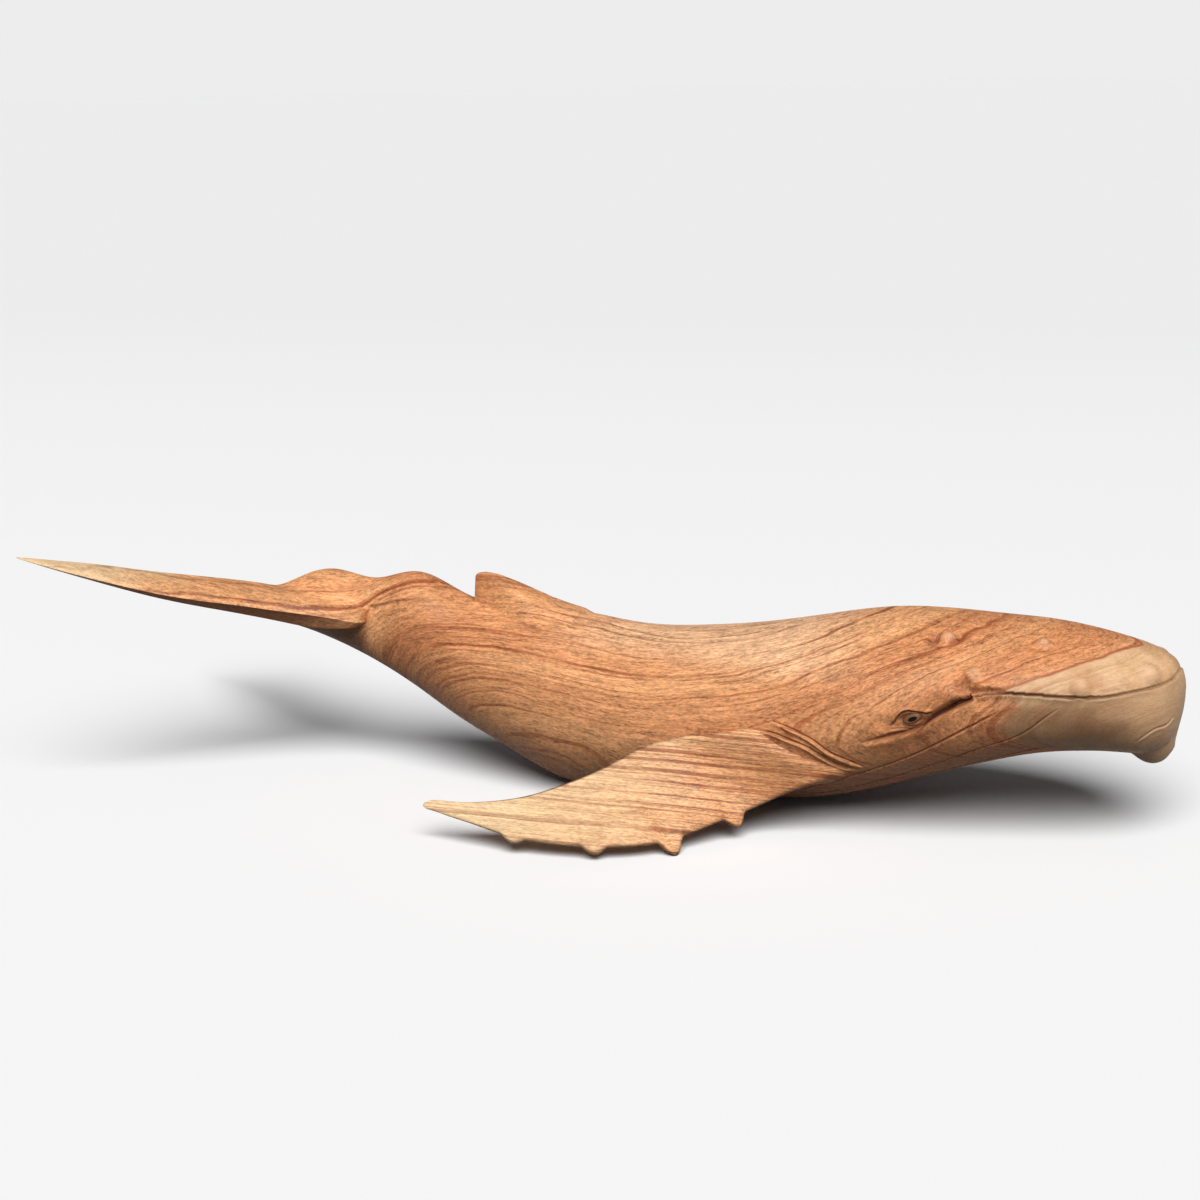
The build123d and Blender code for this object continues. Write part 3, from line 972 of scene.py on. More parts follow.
def wood(name, sapwood=None, straight=0.0, waviness=7.0, shades=heart_shades, seed=0.0, fleck=1.7,
         lines=(0.50, 0.60, 0.69)):
    """Oiled hardwood. sapwood paints the pale parts over it and says how coarse the grain is."""
    material, tree, shader = new_material(name)
    light_shade, deep_shade, line_shade, pore_shade = shades
    lines_per_mm, line_from, line_to = lines
    place = place_in_mm(tree)
    depth, x, y, z = layers(tree, place, straight, waviness)

    def bands(per_mm, number):
        """Noise that changes across the layers and hardly at all along them."""
        spot = (tree.times(depth, per_mm), tree.times(x, 0.004), number + seed)
        return noise(tree, tree.add("ShaderNodeCombineXYZ", spot), 1.0)

    def streaks(across, along, aside, number, detail, rough):
        """Noise that is drawn out along the layers, with so many waves per millimetre each way."""
        inputs = {"Vector": stretched(tree, place, along, aside, number + seed), "Scale": 1.0,
                  "Detail": detail, "Roughness": rough, "W": tree.times(depth, across)}
        return tree.add("ShaderNodeTexNoise", inputs, noise_dimensions="4D")

    patch = noise(tree, stretched(tree, place, 0.03, 0.06, 11.0 + seed))
    broad = tree.ramp(bands(0.10, 1.0), 0.30, 0.70)
    rings = tree.ramp(bands(lines_per_mm, 5.0), line_from, line_to)
    thin = tree.ramp(bands(1.4, 9.0), 0.53, 0.66)
    strength = tree.ramp(patch, 0.30, 0.62, 0.35, 1.0)
    fibre = streaks(1.3, 0.07, 0.30, 13.0, 3.0, 0.62)
    speck = streaks(3.0, 0.55, 1.1, 23.0, 2.0, 0.7)
    pores = tree.ramp(streaks(2.8, 0.20, 0.80, 17.0, 1.0, 0.5), 0.58, 0.68)

    paint, coarse = blend(tree, broad, light_shade, deep_shade), 1.0
    if sapwood:
        paint, coarse = sapwood(tree, x, y, z, paint, rings)
    strength = tree.times(strength, coarse)
    paint = blend(tree, tree.times(rings, tree.times(strength, line_strength)), paint, line_shade)
    paint = blend(tree, tree.times(thin, tree.times(strength, thin_strength)), paint, line_shade)
    tone = tree.plus(swing(tree, fibre, fleck), swing(tree, speck, fleck * 1.3))
    paint = tree.scale(paint, tree.plus(tree.times(tone, coarse), 1.03))
    pore_paint = blend(tree, pore_darkness, paint, pore_shade)
    paint = blend(tree, tree.times(pores, tree.times(coarse, pore_strength)), paint, pore_paint)
    finish_with_painted_light(tree, shader, paint, fibre, speck, pores)
    return material


print("wood can be made in any number of shades")

# %% [markdown]
# ## Colours of the jaws
# The block's outer wood is paler. It covers the upper jaw, ahead of a red edge that runs down from
# the brow, and the lower jaw in a greyer tone with one darker patch. A painted highlight pales the lip.

# %% Colours of the jaws
red_edge = colour(164, 84, 50)


def plane_over(tree, spot, a, b, c):
    """How far a spot lies beyond the plane through three places, in mm, on the side of the snout."""
    normal = np.cross(np.subtract(b, a), np.subtract(c, a))
    normal = normal / np.linalg.norm(normal) * np.sign(normal[0])
    return tree.minus(tree.vector("DOT_PRODUCT", spot, tuple(normal)), float(np.dot(normal, a)))


def upper_jaw(tree, upper, clouds, heart, rings):
    """Pale wood ahead of the brow's edge, which is red."""
    pale = blend(tree, clouds, colour(226, 184, 140), colour(206, 160, 116))
    pale = blend(tree, tree.times(rings, 0.20), pale, colour(168, 112, 72))
    edge = tree.math("ABSOLUTE", tree.minus(upper, 0.1))
    pale = blend(tree, tree.ramp(edge, 0.9, 0.1, 0.0, 0.7), pale, red_edge)
    top = blend(tree, tree.ramp(upper, -0.5, 0.3), heart, pale)
    return blend(tree, tree.ramp(edge, 0.9, 0.1, 0.0, 0.5), top, red_edge)


def lower_jaw(tree, x, z, mouth, cloud, clouds):
    """Greyer wood with a painted highlight on the lip, paler towards the tip, with a darker patch."""
    taupe = blend(tree, clouds, colour(190, 148, 110), colour(162, 122, 88))
    # painted highlight on the ridge of the lower lip
    taupe = blend(tree, tree.ramp(mouth, -5.0, -1.0), taupe, colour(216, 176, 134))
    nose = blend(tree, tree.ramp(x, 146.0, 172.0), taupe, colour(214, 172, 130))
    # a darker patch low on the jaw
    along, down = [tree.times(tree.minus(axis, middle), 1 / reach)
                   for axis, middle, reach in ((x, 148.0, 17.0), (z, 39.8, 5.5))]
    off = tree.plus(tree.plus(tree.square(along), tree.square(down)), tree.times(cloud, 1.4))
    return blend(tree, tree.ramp(off, 1.7, 0.5, 0.0, 0.6), nose, colour(122, 84, 58))


print("the jaws' red edge as light:", [round(c, 3) for c in red_edge])

# %% [markdown]
# ## Sapwood and painted light on the body
# The jaws are painted over the heartwood, on either side of the mouth. The top of the back is
# painted paler, partly a painted highlight from the light above and partly paler wood, and the
# tail is a little darker. Sapwood has a plainer grain, so the tree also says how coarse the grain is.

# %% Sapwood and painted light on the body
brow_edge_places = (120.6, -34, 52), (142.2, -24, 60), (158.8, 0, 61.8)
jaw_back = 121.0


def body_sapwood_and_painted_light(tree, x, y, z, heart, rings):
    """The body's wood with its pale parts, and how coarse its grain is."""
    spot = tree.add("ShaderNodeCombineXYZ", (x, y, z))
    near_spot = tree.add("ShaderNodeCombineXYZ", (x, tree.times(tree.math("ABSOLUTE", y), -1.0), z))
    wobble = swing(tree, noise(tree, stretched(tree, spot, 0.07, 0.15, 31.0)), 2.0)
    drift = swing(tree, noise(tree, stretched(tree, spot, 0.06, 0.09, 33.0)), 16.0)
    cloud = noise(tree, stretched(tree, spot, 0.07, 0.10, 37.0))
    clouds = tree.ramp(cloud, 0.35, 0.65)

    tail = tree.times(tree.ramp(x, -55.0, -85.0, 0.0, 0.34), tree.ramp(x, -111.0, -99.0))
    heart = blend(tree, tail, heart, colour(180, 104, 62))
    upper = tree.plus(plane_over(tree, near_spot, *brow_edge_places), wobble)
    top = upper_jaw(tree, upper, clouds, heart, rings)
    # painted highlight along the top of the back, partly paler wood
    back = tree.times(tree.ramp(x, -50.0, -5.0), tree.ramp(x, 85.0, 45.0))
    back = tree.times(tree.ramp(z, 48.0, 57.0), back)
    top = blend(tree, tree.times(back, 0.60), top, colour(250, 206, 164))

    mouth = tree.minus(z, tree.plus(47.3, tree.times(x, 0.034)))
    from_back = tree.minus(x, jaw_back)
    low = tree.minus(z, tree.minus(39.0, tree.times(from_back, 0.42)))
    jaw = tree.times(tree.ramp(tree.plus(from_back, drift), -5.0, 5.0),
                     tree.ramp(tree.plus(low, wobble), -3.0, 2.0))
    bottom = blend(tree, jaw, heart, lower_jaw(tree, x, z, mouth, cloud, clouds))

    over_mouth = tree.ramp(mouth, -0.5, 0.5)
    plain = tree.math("MAXIMUM", tree.times(over_mouth, tree.ramp(upper, -0.5, 0.3)),
                      tree.times(jaw, tree.minus(1.0, over_mouth)))
    return blend(tree, over_mouth, bottom, top), tree.minus(1.0, tree.times(plain, 0.72))


body_wood = wood("body_wood", sapwood=body_sapwood_and_painted_light)
print("nodes in the body's wood:", len(body_wood.node_tree.nodes))

# %% [markdown]
# ## Wood of the flippers and the fluke
# The flippers are sawn from a straight board, and pale towards their tips. The fluke goes on with
# the body's own layers.

# %% Wood of the flippers and the fluke
def tip_sapwood(start, end):
    """Wood that pales towards a tip, between two places along the whale."""
    def paint(tree, x, y, z, heart, rings):
        spot = tree.add("ShaderNodeCombineXYZ", (x, y, z))
        wobble = swing(tree, noise(tree, stretched(tree, spot, 0.04, 0.2, 41.0)), 24.0)
        share = tree.ramp(tree.plus(x, wobble), start, end, 0.0, 0.92)
        return blend(tree, share, heart, colour(244, 210, 164)), tree.minus(1.0, tree.times(share, 0.5))
    return paint


fin_shades = colour(236, 176, 126), colour(218, 152, 102), colour(140, 68, 38), colour(112, 62, 38)
fin_wood = wood("fin_wood", sapwood=tip_sapwood(52.0, -45.0), straight=0.004, waviness=2.4,
                shades=fin_shades, seed=50.0, fleck=1.9, lines=(0.62, 0.54, 0.60))
fluke_wood = wood("fluke_wood", sapwood=tip_sapwood(-165.0, -205.0))
print("nodes in the fin's wood:", len(fin_wood.node_tree.nodes))

# %% [markdown]
# ## The dorsal fin
# The plain body gets its dorsal fin first: a wedge that starts as a thin upright edge and runs
# forward into the back.

# %% Dorsal fin
fin_top = np.array([
    (-74.5, 62.2), (-73.9, 70.6), (-73.3, 71.8), (-71.0, 72.1), (-66.4, 71.4), (-59.5, 68.9), (-53.0, 66.2),
    (-47.8, 64.1), (-42.0, 62.4), (-35.0, 60.6),
])
fin_rear, fin_grows_over = 75, 24
fin_half_width = 1.2, 4.6  # at the rear edge, and how much it gains ahead
fin_foot = 0.7, 8.0  # how wide the curve at its foot is, in the same way


def raise_fin(mesh):
    """Lifts the back to the fin's outline, over a half thickness that grows forward."""
    places = corners_of(mesh)
    x, y, z = places.T
    back = body_curves[1](x)
    outline = np.interp(x, fin_top[:, 0], fin_top[:, 1])
    height = np.where((x > fin_top[0, 0]) & (x < fin_top[-1, 0]), np.maximum(outline - back, 0), 0)
    ahead = np.clip((x + fin_rear) / fin_grows_over, 0, 1)
    half = fin_half_width[0] + fin_half_width[1] * ahead
    foot = fin_foot[0] + fin_foot[1] * ahead ** 1.5
    q = np.clip((abs(y) - half) / foot, 0, 1)
    share = np.where(z > 40, 1 - q * q * (3 - 2 * q), 0)
    places[:, 2] = z + height * share
    move_corners(mesh, places)
    return float(height.max())


print("the fin stands", round(raise_fin(body_net), 1), "mm above the back")

# %% [markdown]
# ## Carving the body
# The knife goes over the body in rounds, soft hollows before sharp cuts. Each round measures from
# where the skin was before the knife, so that one cut doesn't shift the next.

# %% The knife's rounds
hollows = {
    "behind_the_mouth": ([(106.3, .345), (107.5, .358), (109.5, .380), (112.0, .395)],
                         3.4, 1.7, 0.0, 0.0, 2, 2, 0.45),
    "over_the_eye": ([(106.5, .420), (102.0, .445), (97.0, .475), (91.5, .500), (85.0, .525)],
                     4.2, 1.3, 0.0, 0.0, 3, 5, 0.2),
    "behind_a_knob": ([(96.6, .160), (95.8, .185)], 2.5, 1.5, 0.0, 0.0, 0, 0, 0.5),
    "under_the_lip": ([(150.0, .520), (140.0, .545), (131.0, .550)], 8.0, 0.9, 0.0, 0.0, 8, 8, 0.1),
}
stock_ridges = {
    "stock_ridge": ([(-112.0, .345), (-107.1, .325), (-101.0, .297), (-95.2, .263), (-88.0, .180)],
                    1.1, -0.6, 0.0, -0.3, 1, 8, 0.0),
}
sockets = {
    "under_the_brow": ([(110.5, .390), (114.0, .397), (118.5, .397), (122.5, .399)],
                       1.5, 1.0, 0.0, 0.0, 1, 3, 0.45),
    "brow_edge": ([(108.4, .300), (110.3, .330), (112.4, .357), (115.8, .372), (120.5, .374)],
                  1.1, -0.5, 0.0, 0.0, 2, 4, 0.0),
    "socket": ([(89.5, .500), (92.0, .493), (95.5, .490), (99.0, .487)],
               2.4, 0.9, 0.0, 0.0, 2, 2, (0.6, 1.1)),
}
bowl_shape, fold_shape, knife_shape = 2.0, 1.3, 1.2


def cuts(group):
    """A group of flank lines on both sides, ready for line_object."""
    return [(on_flank(places, side), *rest) for places, *rest in group.values() for side in (-1, 1)]


body = as_object("body_carving", body_net)
store(body.data, "uncut", corners_of(body.data) * MM)
for name, lines, roundness in (
    ("hollows", cuts(hollows), bowl_shape), ("ridges", cuts(stock_ridges), bowl_shape),
    ("sockets", cuts(sockets), bowl_shape), ("folds", cuts(fold_lines), fold_shape),
    ("mouth", [(whole_mouth, *mouth_shape)], knife_shape), ("pleats", cuts(pleat_lines), knife_shape),
    ("lids", cuts(lid_lines), knife_shape), ("roots", cuts(root_lines), knife_shape),
):
    guide = line_object(name, lines)
    run_tree(body, carve_lines, Lines=guide, Roundness=roundness, Material=body_wood)
    drop(guide)
print("the knife went round 8 times;", so_far())

# %% [markdown]
# ## Knobs and the rest
# The knobs come last, over the cuts. The belly and the chin then stop at the table.

# %% Knobs and the rest
def on_head(along, share, side):
    """A knob's place. On the far side the top ones sit lower."""
    lower = far_side_lower if side > 0 and share < top_knobs_above else 0
    return body_surface(along, share + lower, side)


knobs = [(on_head(*place, side), *shape) for place, *shape in head_knobs for side in (-1, 1)] + [chin_knob]
guide = point_object("knobs", knobs)
run_tree(body, raise_knobs, Knobs=guide, Material=body_wood)
drop(guide)

stop_at(body, 0.0)
smooth(body)
keep_layers(body)
print("the body has", len(body.data.polygons), "meshes;", so_far())

# %% [markdown]
# ## Blades
# A flipper and a lobe of the fluke are both blades: a leading edge, a trailing edge, and a section
# between them. The stations give both edges, and the section is drawn across each.

# %% Blade maker
def skin(name, rings):
    """A closed skin over rings that all have the same number of points, in mm."""
    count, size = len(rings), len(rings[0])
    faces = [
        (a * size + b, a * size + (b + 1) % size, (a + 1) * size + (b + 1) % size, (a + 1) * size + b)
        for a in range(count - 1) for b in range(size)
    ]
    faces += [tuple(range(size))[::-1], tuple((count - 1) * size + b for b in range(size))]
    mesh = bpy.data.meshes.new(name)
    mesh.from_pydata((np.vstack(rings) * MM).tolist(), [], faces)
    shape = bmesh.new()
    shape.from_mesh(mesh)
    bmesh.ops.recalc_face_normals(shape, faces=shape.faces)
    shape.to_mesh(mesh)
    shape.free()
    return mesh


def unit(rows):
    rows = np.asarray(rows, float)
    return rows / np.linalg.norm(rows, axis=-1, keepdims=True)


def resample(rows, count):
    """Station rows, smoothly filled in to count rows along the middle of the blade."""
    rows = np.array([np.hstack(row) for row in rows], float)
    way = way_along((rows[:, 0:3] + rows[:, 3:6]) / 2)
    spot = np.linspace(0, way[-1], count)
    return np.stack([smooth_curve(way, column)(spot) for column in rows.T], -1)


print("blades can be made")

# %% [markdown]
# ## Flippers
# A flipper is sawn from a flat board, with its grain along the whale. Its leading edge is blunt and
# carries four knobs, which are left standing when the edge is cut back between them.

# %% Stations of a flipper
# leading edge, trailing edge, thickness over and under the line between them
flipper_rows = [
    ((75.5, -27, 24.0), (49, -33, 34.0), 3.2, 4.0), ((70.5, -32, 22.0), (44, -38.4, 34.0), 3.0, 3.7),
    ((63.5, -36.5, 19.0), (38, -42.4, 33.9), 2.5, 3.4), ((54, -39.8, 14.8), (30.8, -45.0, 33.7), 2.0, 3.1),
    ((42, -45, 9.2), (21, -47, 32.8), 1.7, 2.9), ((34, -54, 6.9), (13, -49, 31), 1.6, 2.8),
    ((26.5, -64, 5.2), (5, -51, 28), 1.5, 2.6), ((19, -73, 4.6), (-2, -54, 24), 1.5, 2.4),
    ((8, -80, 4.6), (-9, -58, 20.5), 1.4, 2.2), ((-8, -84, 5.0), (-18, -63, 17), 1.3, 2.0),
    ((-25, -84.6, 6), (-28, -69, 14.3), 1.2, 1.8), ((-40, -82.8, 8.4), (-40, -74, 13), 1.0, 1.5),
    ((-51, -80.8, 9.7), (-50, -76.6, 12.9), 0.9, 1.2), ((-56.4, -79.8, 10.4), (-55.8, -77.0, 13.0), 0.8, 0.9),
    ((-58.6, -79.4, 10.8), (-58.2, -77.4, 12.6), 0.6, 0.6),
    ((-59.6, -78.9, 11.3), (-59.5, -78.2, 12.0), 0.25, 0.25),
]
# place along x of each knob, how far it stands out, half its width
flipper_knobs = [(37.6, 4.0, 4.3), (22.8, 5.4, 4.9), (1.8, 2.4, 4.4), (-25.5, 1.9, 4.8)]
print("a flipper has", len(flipper_rows), "stations and", len(flipper_knobs), "knobs")

# %% [markdown]
# ## Sections of a flipper
# A section is blunt ahead and thin behind. Near a knob its front is pushed out and down, and it is
# a little plumper there.

# %% Sections of a flipper
flipper_sections = 230
knob_plumpness = 0.35
blunt_edge = 2.0


def board_section(chord, points=22):
    """Shares across a flat board's section, and how thick it is there: blunt ahead, thin behind."""
    t = 0.5 * (1 - np.cos(np.linspace(0, math.pi, points))) / 2 + 0.5 * np.linspace(0, 1, points) ** 1.6
    t = t / t[-1]
    front = np.sqrt(np.clip(1 - (1 - np.clip(t * chord / blunt_edge, 0, 1)) ** 2, 0, 1))
    return t, front * np.clip(1 - t, 0, 1) ** 0.85


def flipper_mesh(name):
    rows = resample(flipper_rows, flipper_sections)
    lead, trail, over, under = rows[:, 0:3].copy(), rows[:, 3:6], rows[:, 6], rows[:, 7]
    normal = unit(np.cross(trail - lead, np.gradient((lead + trail) / 2, axis=0)))
    normal *= np.sign(normal[:, 2:3])
    outward = unit(unit(lead - trail) + (0, 0, -0.55))
    way = way_along(lead)
    plump = np.zeros(len(lead))
    for x, out, half in flipper_knobs:
        centre = way[abs(lead[:, 0] - x).argmin()]
        q = np.clip(abs(way - centre) / half, 0, 1)
        bump = (1 - q ** 2) ** 1.6
        lead += outward * (out * bump)[:, None]
        plump += bump
    rings = []
    for k in range(len(rows)):
        t, thick = board_section(np.linalg.norm(trail[k] - lead[k]))
        line = lead[k] + (trail[k] - lead[k]) * t[:, None]
        fat = 1 + knob_plumpness * plump[k] * np.exp(-t * 12)
        top = line + normal[k] * (over[k] * thick * fat)[:, None]
        bottom = line - normal[k] * (under[k] * thick * fat)[:, None]
        rings.append(np.vstack([top, bottom[-2:0:-1]]))
    return skin(name, rings)


right_flipper = as_object("right_flipper_carving", flipper_mesh("right_flipper"))
print("a flipper has", len(right_flipper.data.polygons), "meshes")

# %% [markdown]
# ## Fitting the flippers
# A little wood is left standing where the flipper meets the flank, so that the two meet in a hollow
# curve. The left flipper is the right one's mirror image.

# %% Fitting the flippers
root_reach, root_fill = 9.0, 2.4
off_the_table = 0.3


def fill_root(piece, carrier):
    """Leaves wood standing where a piece meets its carrier, so that the two meet in a hollow curve."""
    wall = BVHTree.FromObject(carrier, bpy.context.evaluated_depsgraph_get())
    moves = []
    for vertex in piece.data.vertices:
        place, normal, _, away = wall.find_nearest(vertex.co)
        inside = (vertex.co - place).dot(normal) < 0
        share = 1 - min(away / MM / root_reach, 1) if not inside else 1.0
        moves.append(vertex.normal * (root_fill * MM * share * share * share))
    for vertex, move in zip(piece.data.vertices, moves):
        vertex.co += move
    piece.data.update()


fill_root(right_flipper, body)
stop_at(right_flipper, off_the_table)
left_flipper = as_object("left_flipper_carving", mirror_image(right_flipper.data))
for piece in (right_flipper, left_flipper):
    smooth(piece)
    piece.data.materials.append(fin_wood)
print("the flippers are fitted;", so_far())

# %% [markdown]
# ## Lobes of the fluke
# Each lobe has a flat top, a bevelled leading edge that catches the light, and a hollowed underside.
# The far lobe is the near one, mirrored across the fluke's own middle plane, which leans towards the
# viewer.

# %% Stations of the lobes
fluke_centre = np.array((-112.0, 0.0, 57.0))
fluke_axes = np.array([
    (0.984808, -0.049319, -0.166497), (0.173648, 0.279701, 0.944253), (0.0, -0.95882, 0.284015),
])
# leading edge, trailing edge, swell of the top, height and lean of the bevel, depth of the undercut
lobe_rows = [
    ((-112.4, 0.0, 57.6), (-148, 2, 60.0), 0.8, 4.4, 0.0, 1.6),
    ((-112.6, -8.0, 58.2), (-154, -1, 62.0), 0.8, 4.4, 0.0, 1.8),
    ((-113.2, -13.4, 58.6), (-158.5, -3.0, 63.6), 0.8, 4.5, 0.0, 2.4),
    ((-116.2, -15.0, 58.8), (-160.3, -4.4, 64.2), 0.8, 4.2, 0.1, 3.2),
    ((-122, -17.2, 59.5), (-162.5, -6.0, 64.8), 0.8, 3.6, 0.35, 4.6),
    ((-134, -22.5, 61.0), (-167, -9.5, 66.0), 0.8, 2.7, 0.6, 4.6),
    ((-152, -34, 64.5), (-177, -21.5, 69.6), 0.7, 1.7, 0.7, 3.4),
    ((-169, -47.5, 69.3), (-190, -36, 74.0), 0.6, 1.5, 0.7, 2.0),
    ((-182, -56.5, 73.9), (-200, -48, 78), 0.5, 1.4, 0.6, 1.3),
    ((-195, -63.0, 78.0), (-208.5, -57.5, 80.7), 0.4, 1.1, 0.5, 0.7),
    ((-208, -67.6, 81.5), (-215, -65.5, 82.9), 0.25, 0.6, 0.4, 0.3),
    ((-217.8, -69.6, 83.8), (-218.4, -69.5, 84.0), 0.1, 0.2, 0.2, 0.1),
]
print("the near lobe has", len(lobe_rows), "stations")

# %% [markdown]
# ## Sections of the lobes
# Each section goes along the top, back along the hollowed underside, and up the face that is cut
# back under the leading edge.

# %% Sections of the lobes
lobe_sections = 170
thinnest = 0.08
top_points = 30


def lobe_rings():
    """Sections of the near lobe: a nearly flat top, a lit bevel, and below it a face cut back under."""
    rows = resample(lobe_rows, lobe_sections)
    lead, trail = rows[:, 0:3], rows[:, 3:6]
    swell, bevel, lean, cut = np.maximum(rows[:, 6:10], (thinnest, thinnest, 0.0, thinnest)).T
    normal = fluke_axes[1]
    top_steps = np.concatenate([[0.0, 0.006, 0.018], np.linspace(0.04, 0.97, top_points - 5), [0.99, 1.0]])
    under_steps = np.linspace(0, 1, 14)[:, None]
    side_steps = np.array([0.15, 0.3, 0.5, 0.7, 0.85, 0.95, 0.99, 1.0])[:, None]
    face_steps = np.array([0.02, 0.15, 0.5, 0.85, 0.97])[:, None]
    rings = []
    for k in range(len(rows)):
        across = trail[k] - lead[k]
        chord = np.linalg.norm(across)
        inward = across / chord
        edge = lead[k] + inward * min(bevel[k] * lean[k], 0.3 * chord)
        rise = swell[k] * np.sin(top_steps * math.pi)
        top = edge + (trail[k] - edge) * top_steps[:, None] + normal * rise[:, None]
        rear = trail[k] - normal * min(0.7, bevel[k] * 0.6)
        foot = lead[k] - normal * bevel[k]
        keel = foot - normal * cut[k] + inward * min(cut[k] * 0.9, 0.5 * chord)
        hollow = normal * (0.25 * cut[k] * np.sin(under_steps * math.pi) * under_steps)
        under = rear + (keel - rear) * under_steps + hollow
        side = keel + (foot - keel) * side_steps
        face = foot + (edge - foot) * face_steps
        rings.append(np.vstack([top, under, side, face]))
    return rings


def mirrored(rings):
    """The far lobe: the near one, mirrored across the fluke's own middle plane."""
    out = []
    for ring in rings:
        local = (ring - fluke_centre) @ fluke_axes.T
        local[:, 2] *= -1
        out.append(fluke_centre + local @ fluke_axes)
    return out


near_rings = lobe_rings()
print("points round a lobe:", len(near_rings[0]))

# %% [markdown]
# ## Stock, and the fluke as one piece
# The stock goes on behind the joint with the body's own stations, and ends round. The lobes are
# joined to it, and the corner between them is then rubbed smooth, as sandpaper would.

# %% Stock, and the fluke as one piece
stock_points = 72
stock_turns_at = -154
stock_turns_over = 8.2


def stock_rings():
    rings = []
    end = -162 + 8 * np.cos(np.linspace(0.1, 1.5, 12))
    for x in np.concatenate([np.linspace(joint_x, stock_turns_at, 50), end]):
        close = math.sqrt(max(1 - max((-x + stock_turns_at) / stock_turns_over, 0) ** 2, 0.0))
        half_width, back, belly, *full = [curve(max(x, body_stations[0, 0])) for curve in body_curves]
        middle = (back + belly) / 2
        values = (half_width * close, middle + (back - middle) * close, middle + (belly - middle) * close)
        share, right = round_section(np.arange(stock_points) / stock_points)
        out, rise = section_point(*values, *full, share)
        rings.append(np.stack([np.full(stock_points, x), np.where(right, -out, out), rise], -1))
    return rings


def union(name, first, *others):
    """One closed skin round pieces that run into each other. Material slots tell the parts apart."""
    base = as_object(name, first)
    for other in others:
        extra = as_object(name + "_part", other)
        modifier = base.modifiers.new("union", "BOOLEAN")
        modifier.operation, modifier.solver, modifier.object = "UNION", "EXACT", extra
        keep_result(base)
        drop(extra)
    return base


stock_mesh, near_mesh, far_mesh = (
    skin("stock", stock_rings()), skin("near_lobe", near_rings), skin("far_lobe", mirrored(near_rings)))
part_names = ("stock_part", "lobe_top", "lobe_edge_and_underside")
STOCK, LOBE_TOP, LOBE_UNDER = range(3)
parts = [bpy.data.materials.new(label) for label in part_names]
for mesh in (stock_mesh, near_mesh, far_mesh):
    for part in parts:
        mesh.materials.append(part)
for mesh in (near_mesh, far_mesh):
    for polygon in mesh.polygons:
        is_end = polygon.index >= len(mesh.polygons) - 2
        is_top = polygon.index % len(near_rings[0]) < top_points - 1 and not is_end
        polygon.material_index = LOBE_TOP if is_top else LOBE_UNDER
fluke = union("tail_fluke_carving", stock_mesh, near_mesh, far_mesh)
print("the fluke has", len(fluke.data.polygons), "meshes;", so_far())

# %% [markdown]
# ## Sanding the fluke, and painted shade under it
# Sanding moves each corner towards the middle of its neighbours, over and over, and most of all on
# the seam between a lobe's top and the stock. The bevels and the undersides keep their edges. The
# faces below get painted shade.

# %% Sanding the fluke, and painted shade under it
sanded_reach, sanding_rounds = 9.0, 60
underside_shade = 0.85
sharp_edge = 38


def rub_seams(mesh):
    """Sands the valley between the lobes' tops and the stock."""
    shape = bmesh.new()
    shape.from_mesh(mesh)
    seam = {v.index for e in shape.edges if len(e.link_faces) == 2
            and sorted(f.material_index for f in e.link_faces) == [STOCK, LOBE_TOP] for v in e.verts}
    kept = {v.index for f in shape.faces if f.material_index == LOBE_UNDER for v in f.verts}
    edges = np.array([[v.index for v in e.verts] for e in shape.edges])
    shape.free()
    places = corners_of(mesh)
    tree = nearest_of([places[k] for k in seam])
    share = np.array([max(0.0, 1 - tree.find(place)[2] / sanded_reach) for place in places])
    share *= np.clip((joint_x - 4 - places[:, 0]) / 8, 0, 1)
    share[list(kept)] = 0
    share = np.minimum(share * 1.5, 1.0)[:, None] * 0.6
    count = np.bincount(edges.ravel(), minlength=len(places))[:, None]
    for _ in range(sanding_rounds):
        total = np.zeros_like(places)
        np.add.at(total, edges[:, 0], places[edges[:, 1]])
        np.add.at(total, edges[:, 1], places[edges[:, 0]])
        places += (total / count - places) * share
    move_corners(mesh, places)
    return len(seam)


def darken_underside(mesh):
    """Painted shade on the faces that look down, below the lobes and the stock, for the wood."""
    normals = np.zeros(len(mesh.vertices) * 3)
    mesh.vertex_normals.foreach_get("vector", normals)
    facing = normals.reshape(-1, 3) @ fluke_axes[1]
    behind = joint_x - corners_of(mesh)[:, 0]
    share = np.clip((-facing - 0.15) / 0.45, 0, 1) * np.clip(behind / 6, 0, 1)
    store(mesh, "stain", share * underside_shade)
    return int((share > 0.5).sum())


print("seam corners:", rub_seams(fluke.data))
# counts the corners below that get painted shade
print("corners below that are oiled dark:", darken_underside(fluke.data), "of", len(fluke.data.vertices))
for polygon in fluke.data.polygons:
    polygon.material_index = 0
fluke.data.materials.clear()
fluke.data.materials.append(fluke_wood)
smooth(fluke)
fluke.data.set_sharp_from_angle(angle=math.radians(sharp_edge))
keep_layers(fluke)

# %% [markdown]
# ## Eyes
# Each eye is a brown oval inlay with a dark oval plug, set under the carved lids. Both are domed,
# and their sides go straight in. The eye's own directions are measured on the plain skin.

# %% Eyes
def plain_material(name, base, roughness, gloss):
    """One colour with a little of its own grain."""
    material, tree, shader = new_material(name)
    grain = noise(tree, stretched(tree, place_in_mm(tree), 1.0, 3.0), 3.0)
    darker = tuple(c * 0.78 for c in base[:3]) + (1.0,)
    tree.join(blend(tree, grain, base, darker), shader["Base Color"])
    tree.join(roughness, shader["Roughness"])
    tree.join(gloss, shader["Specular IOR Level"])
    return material


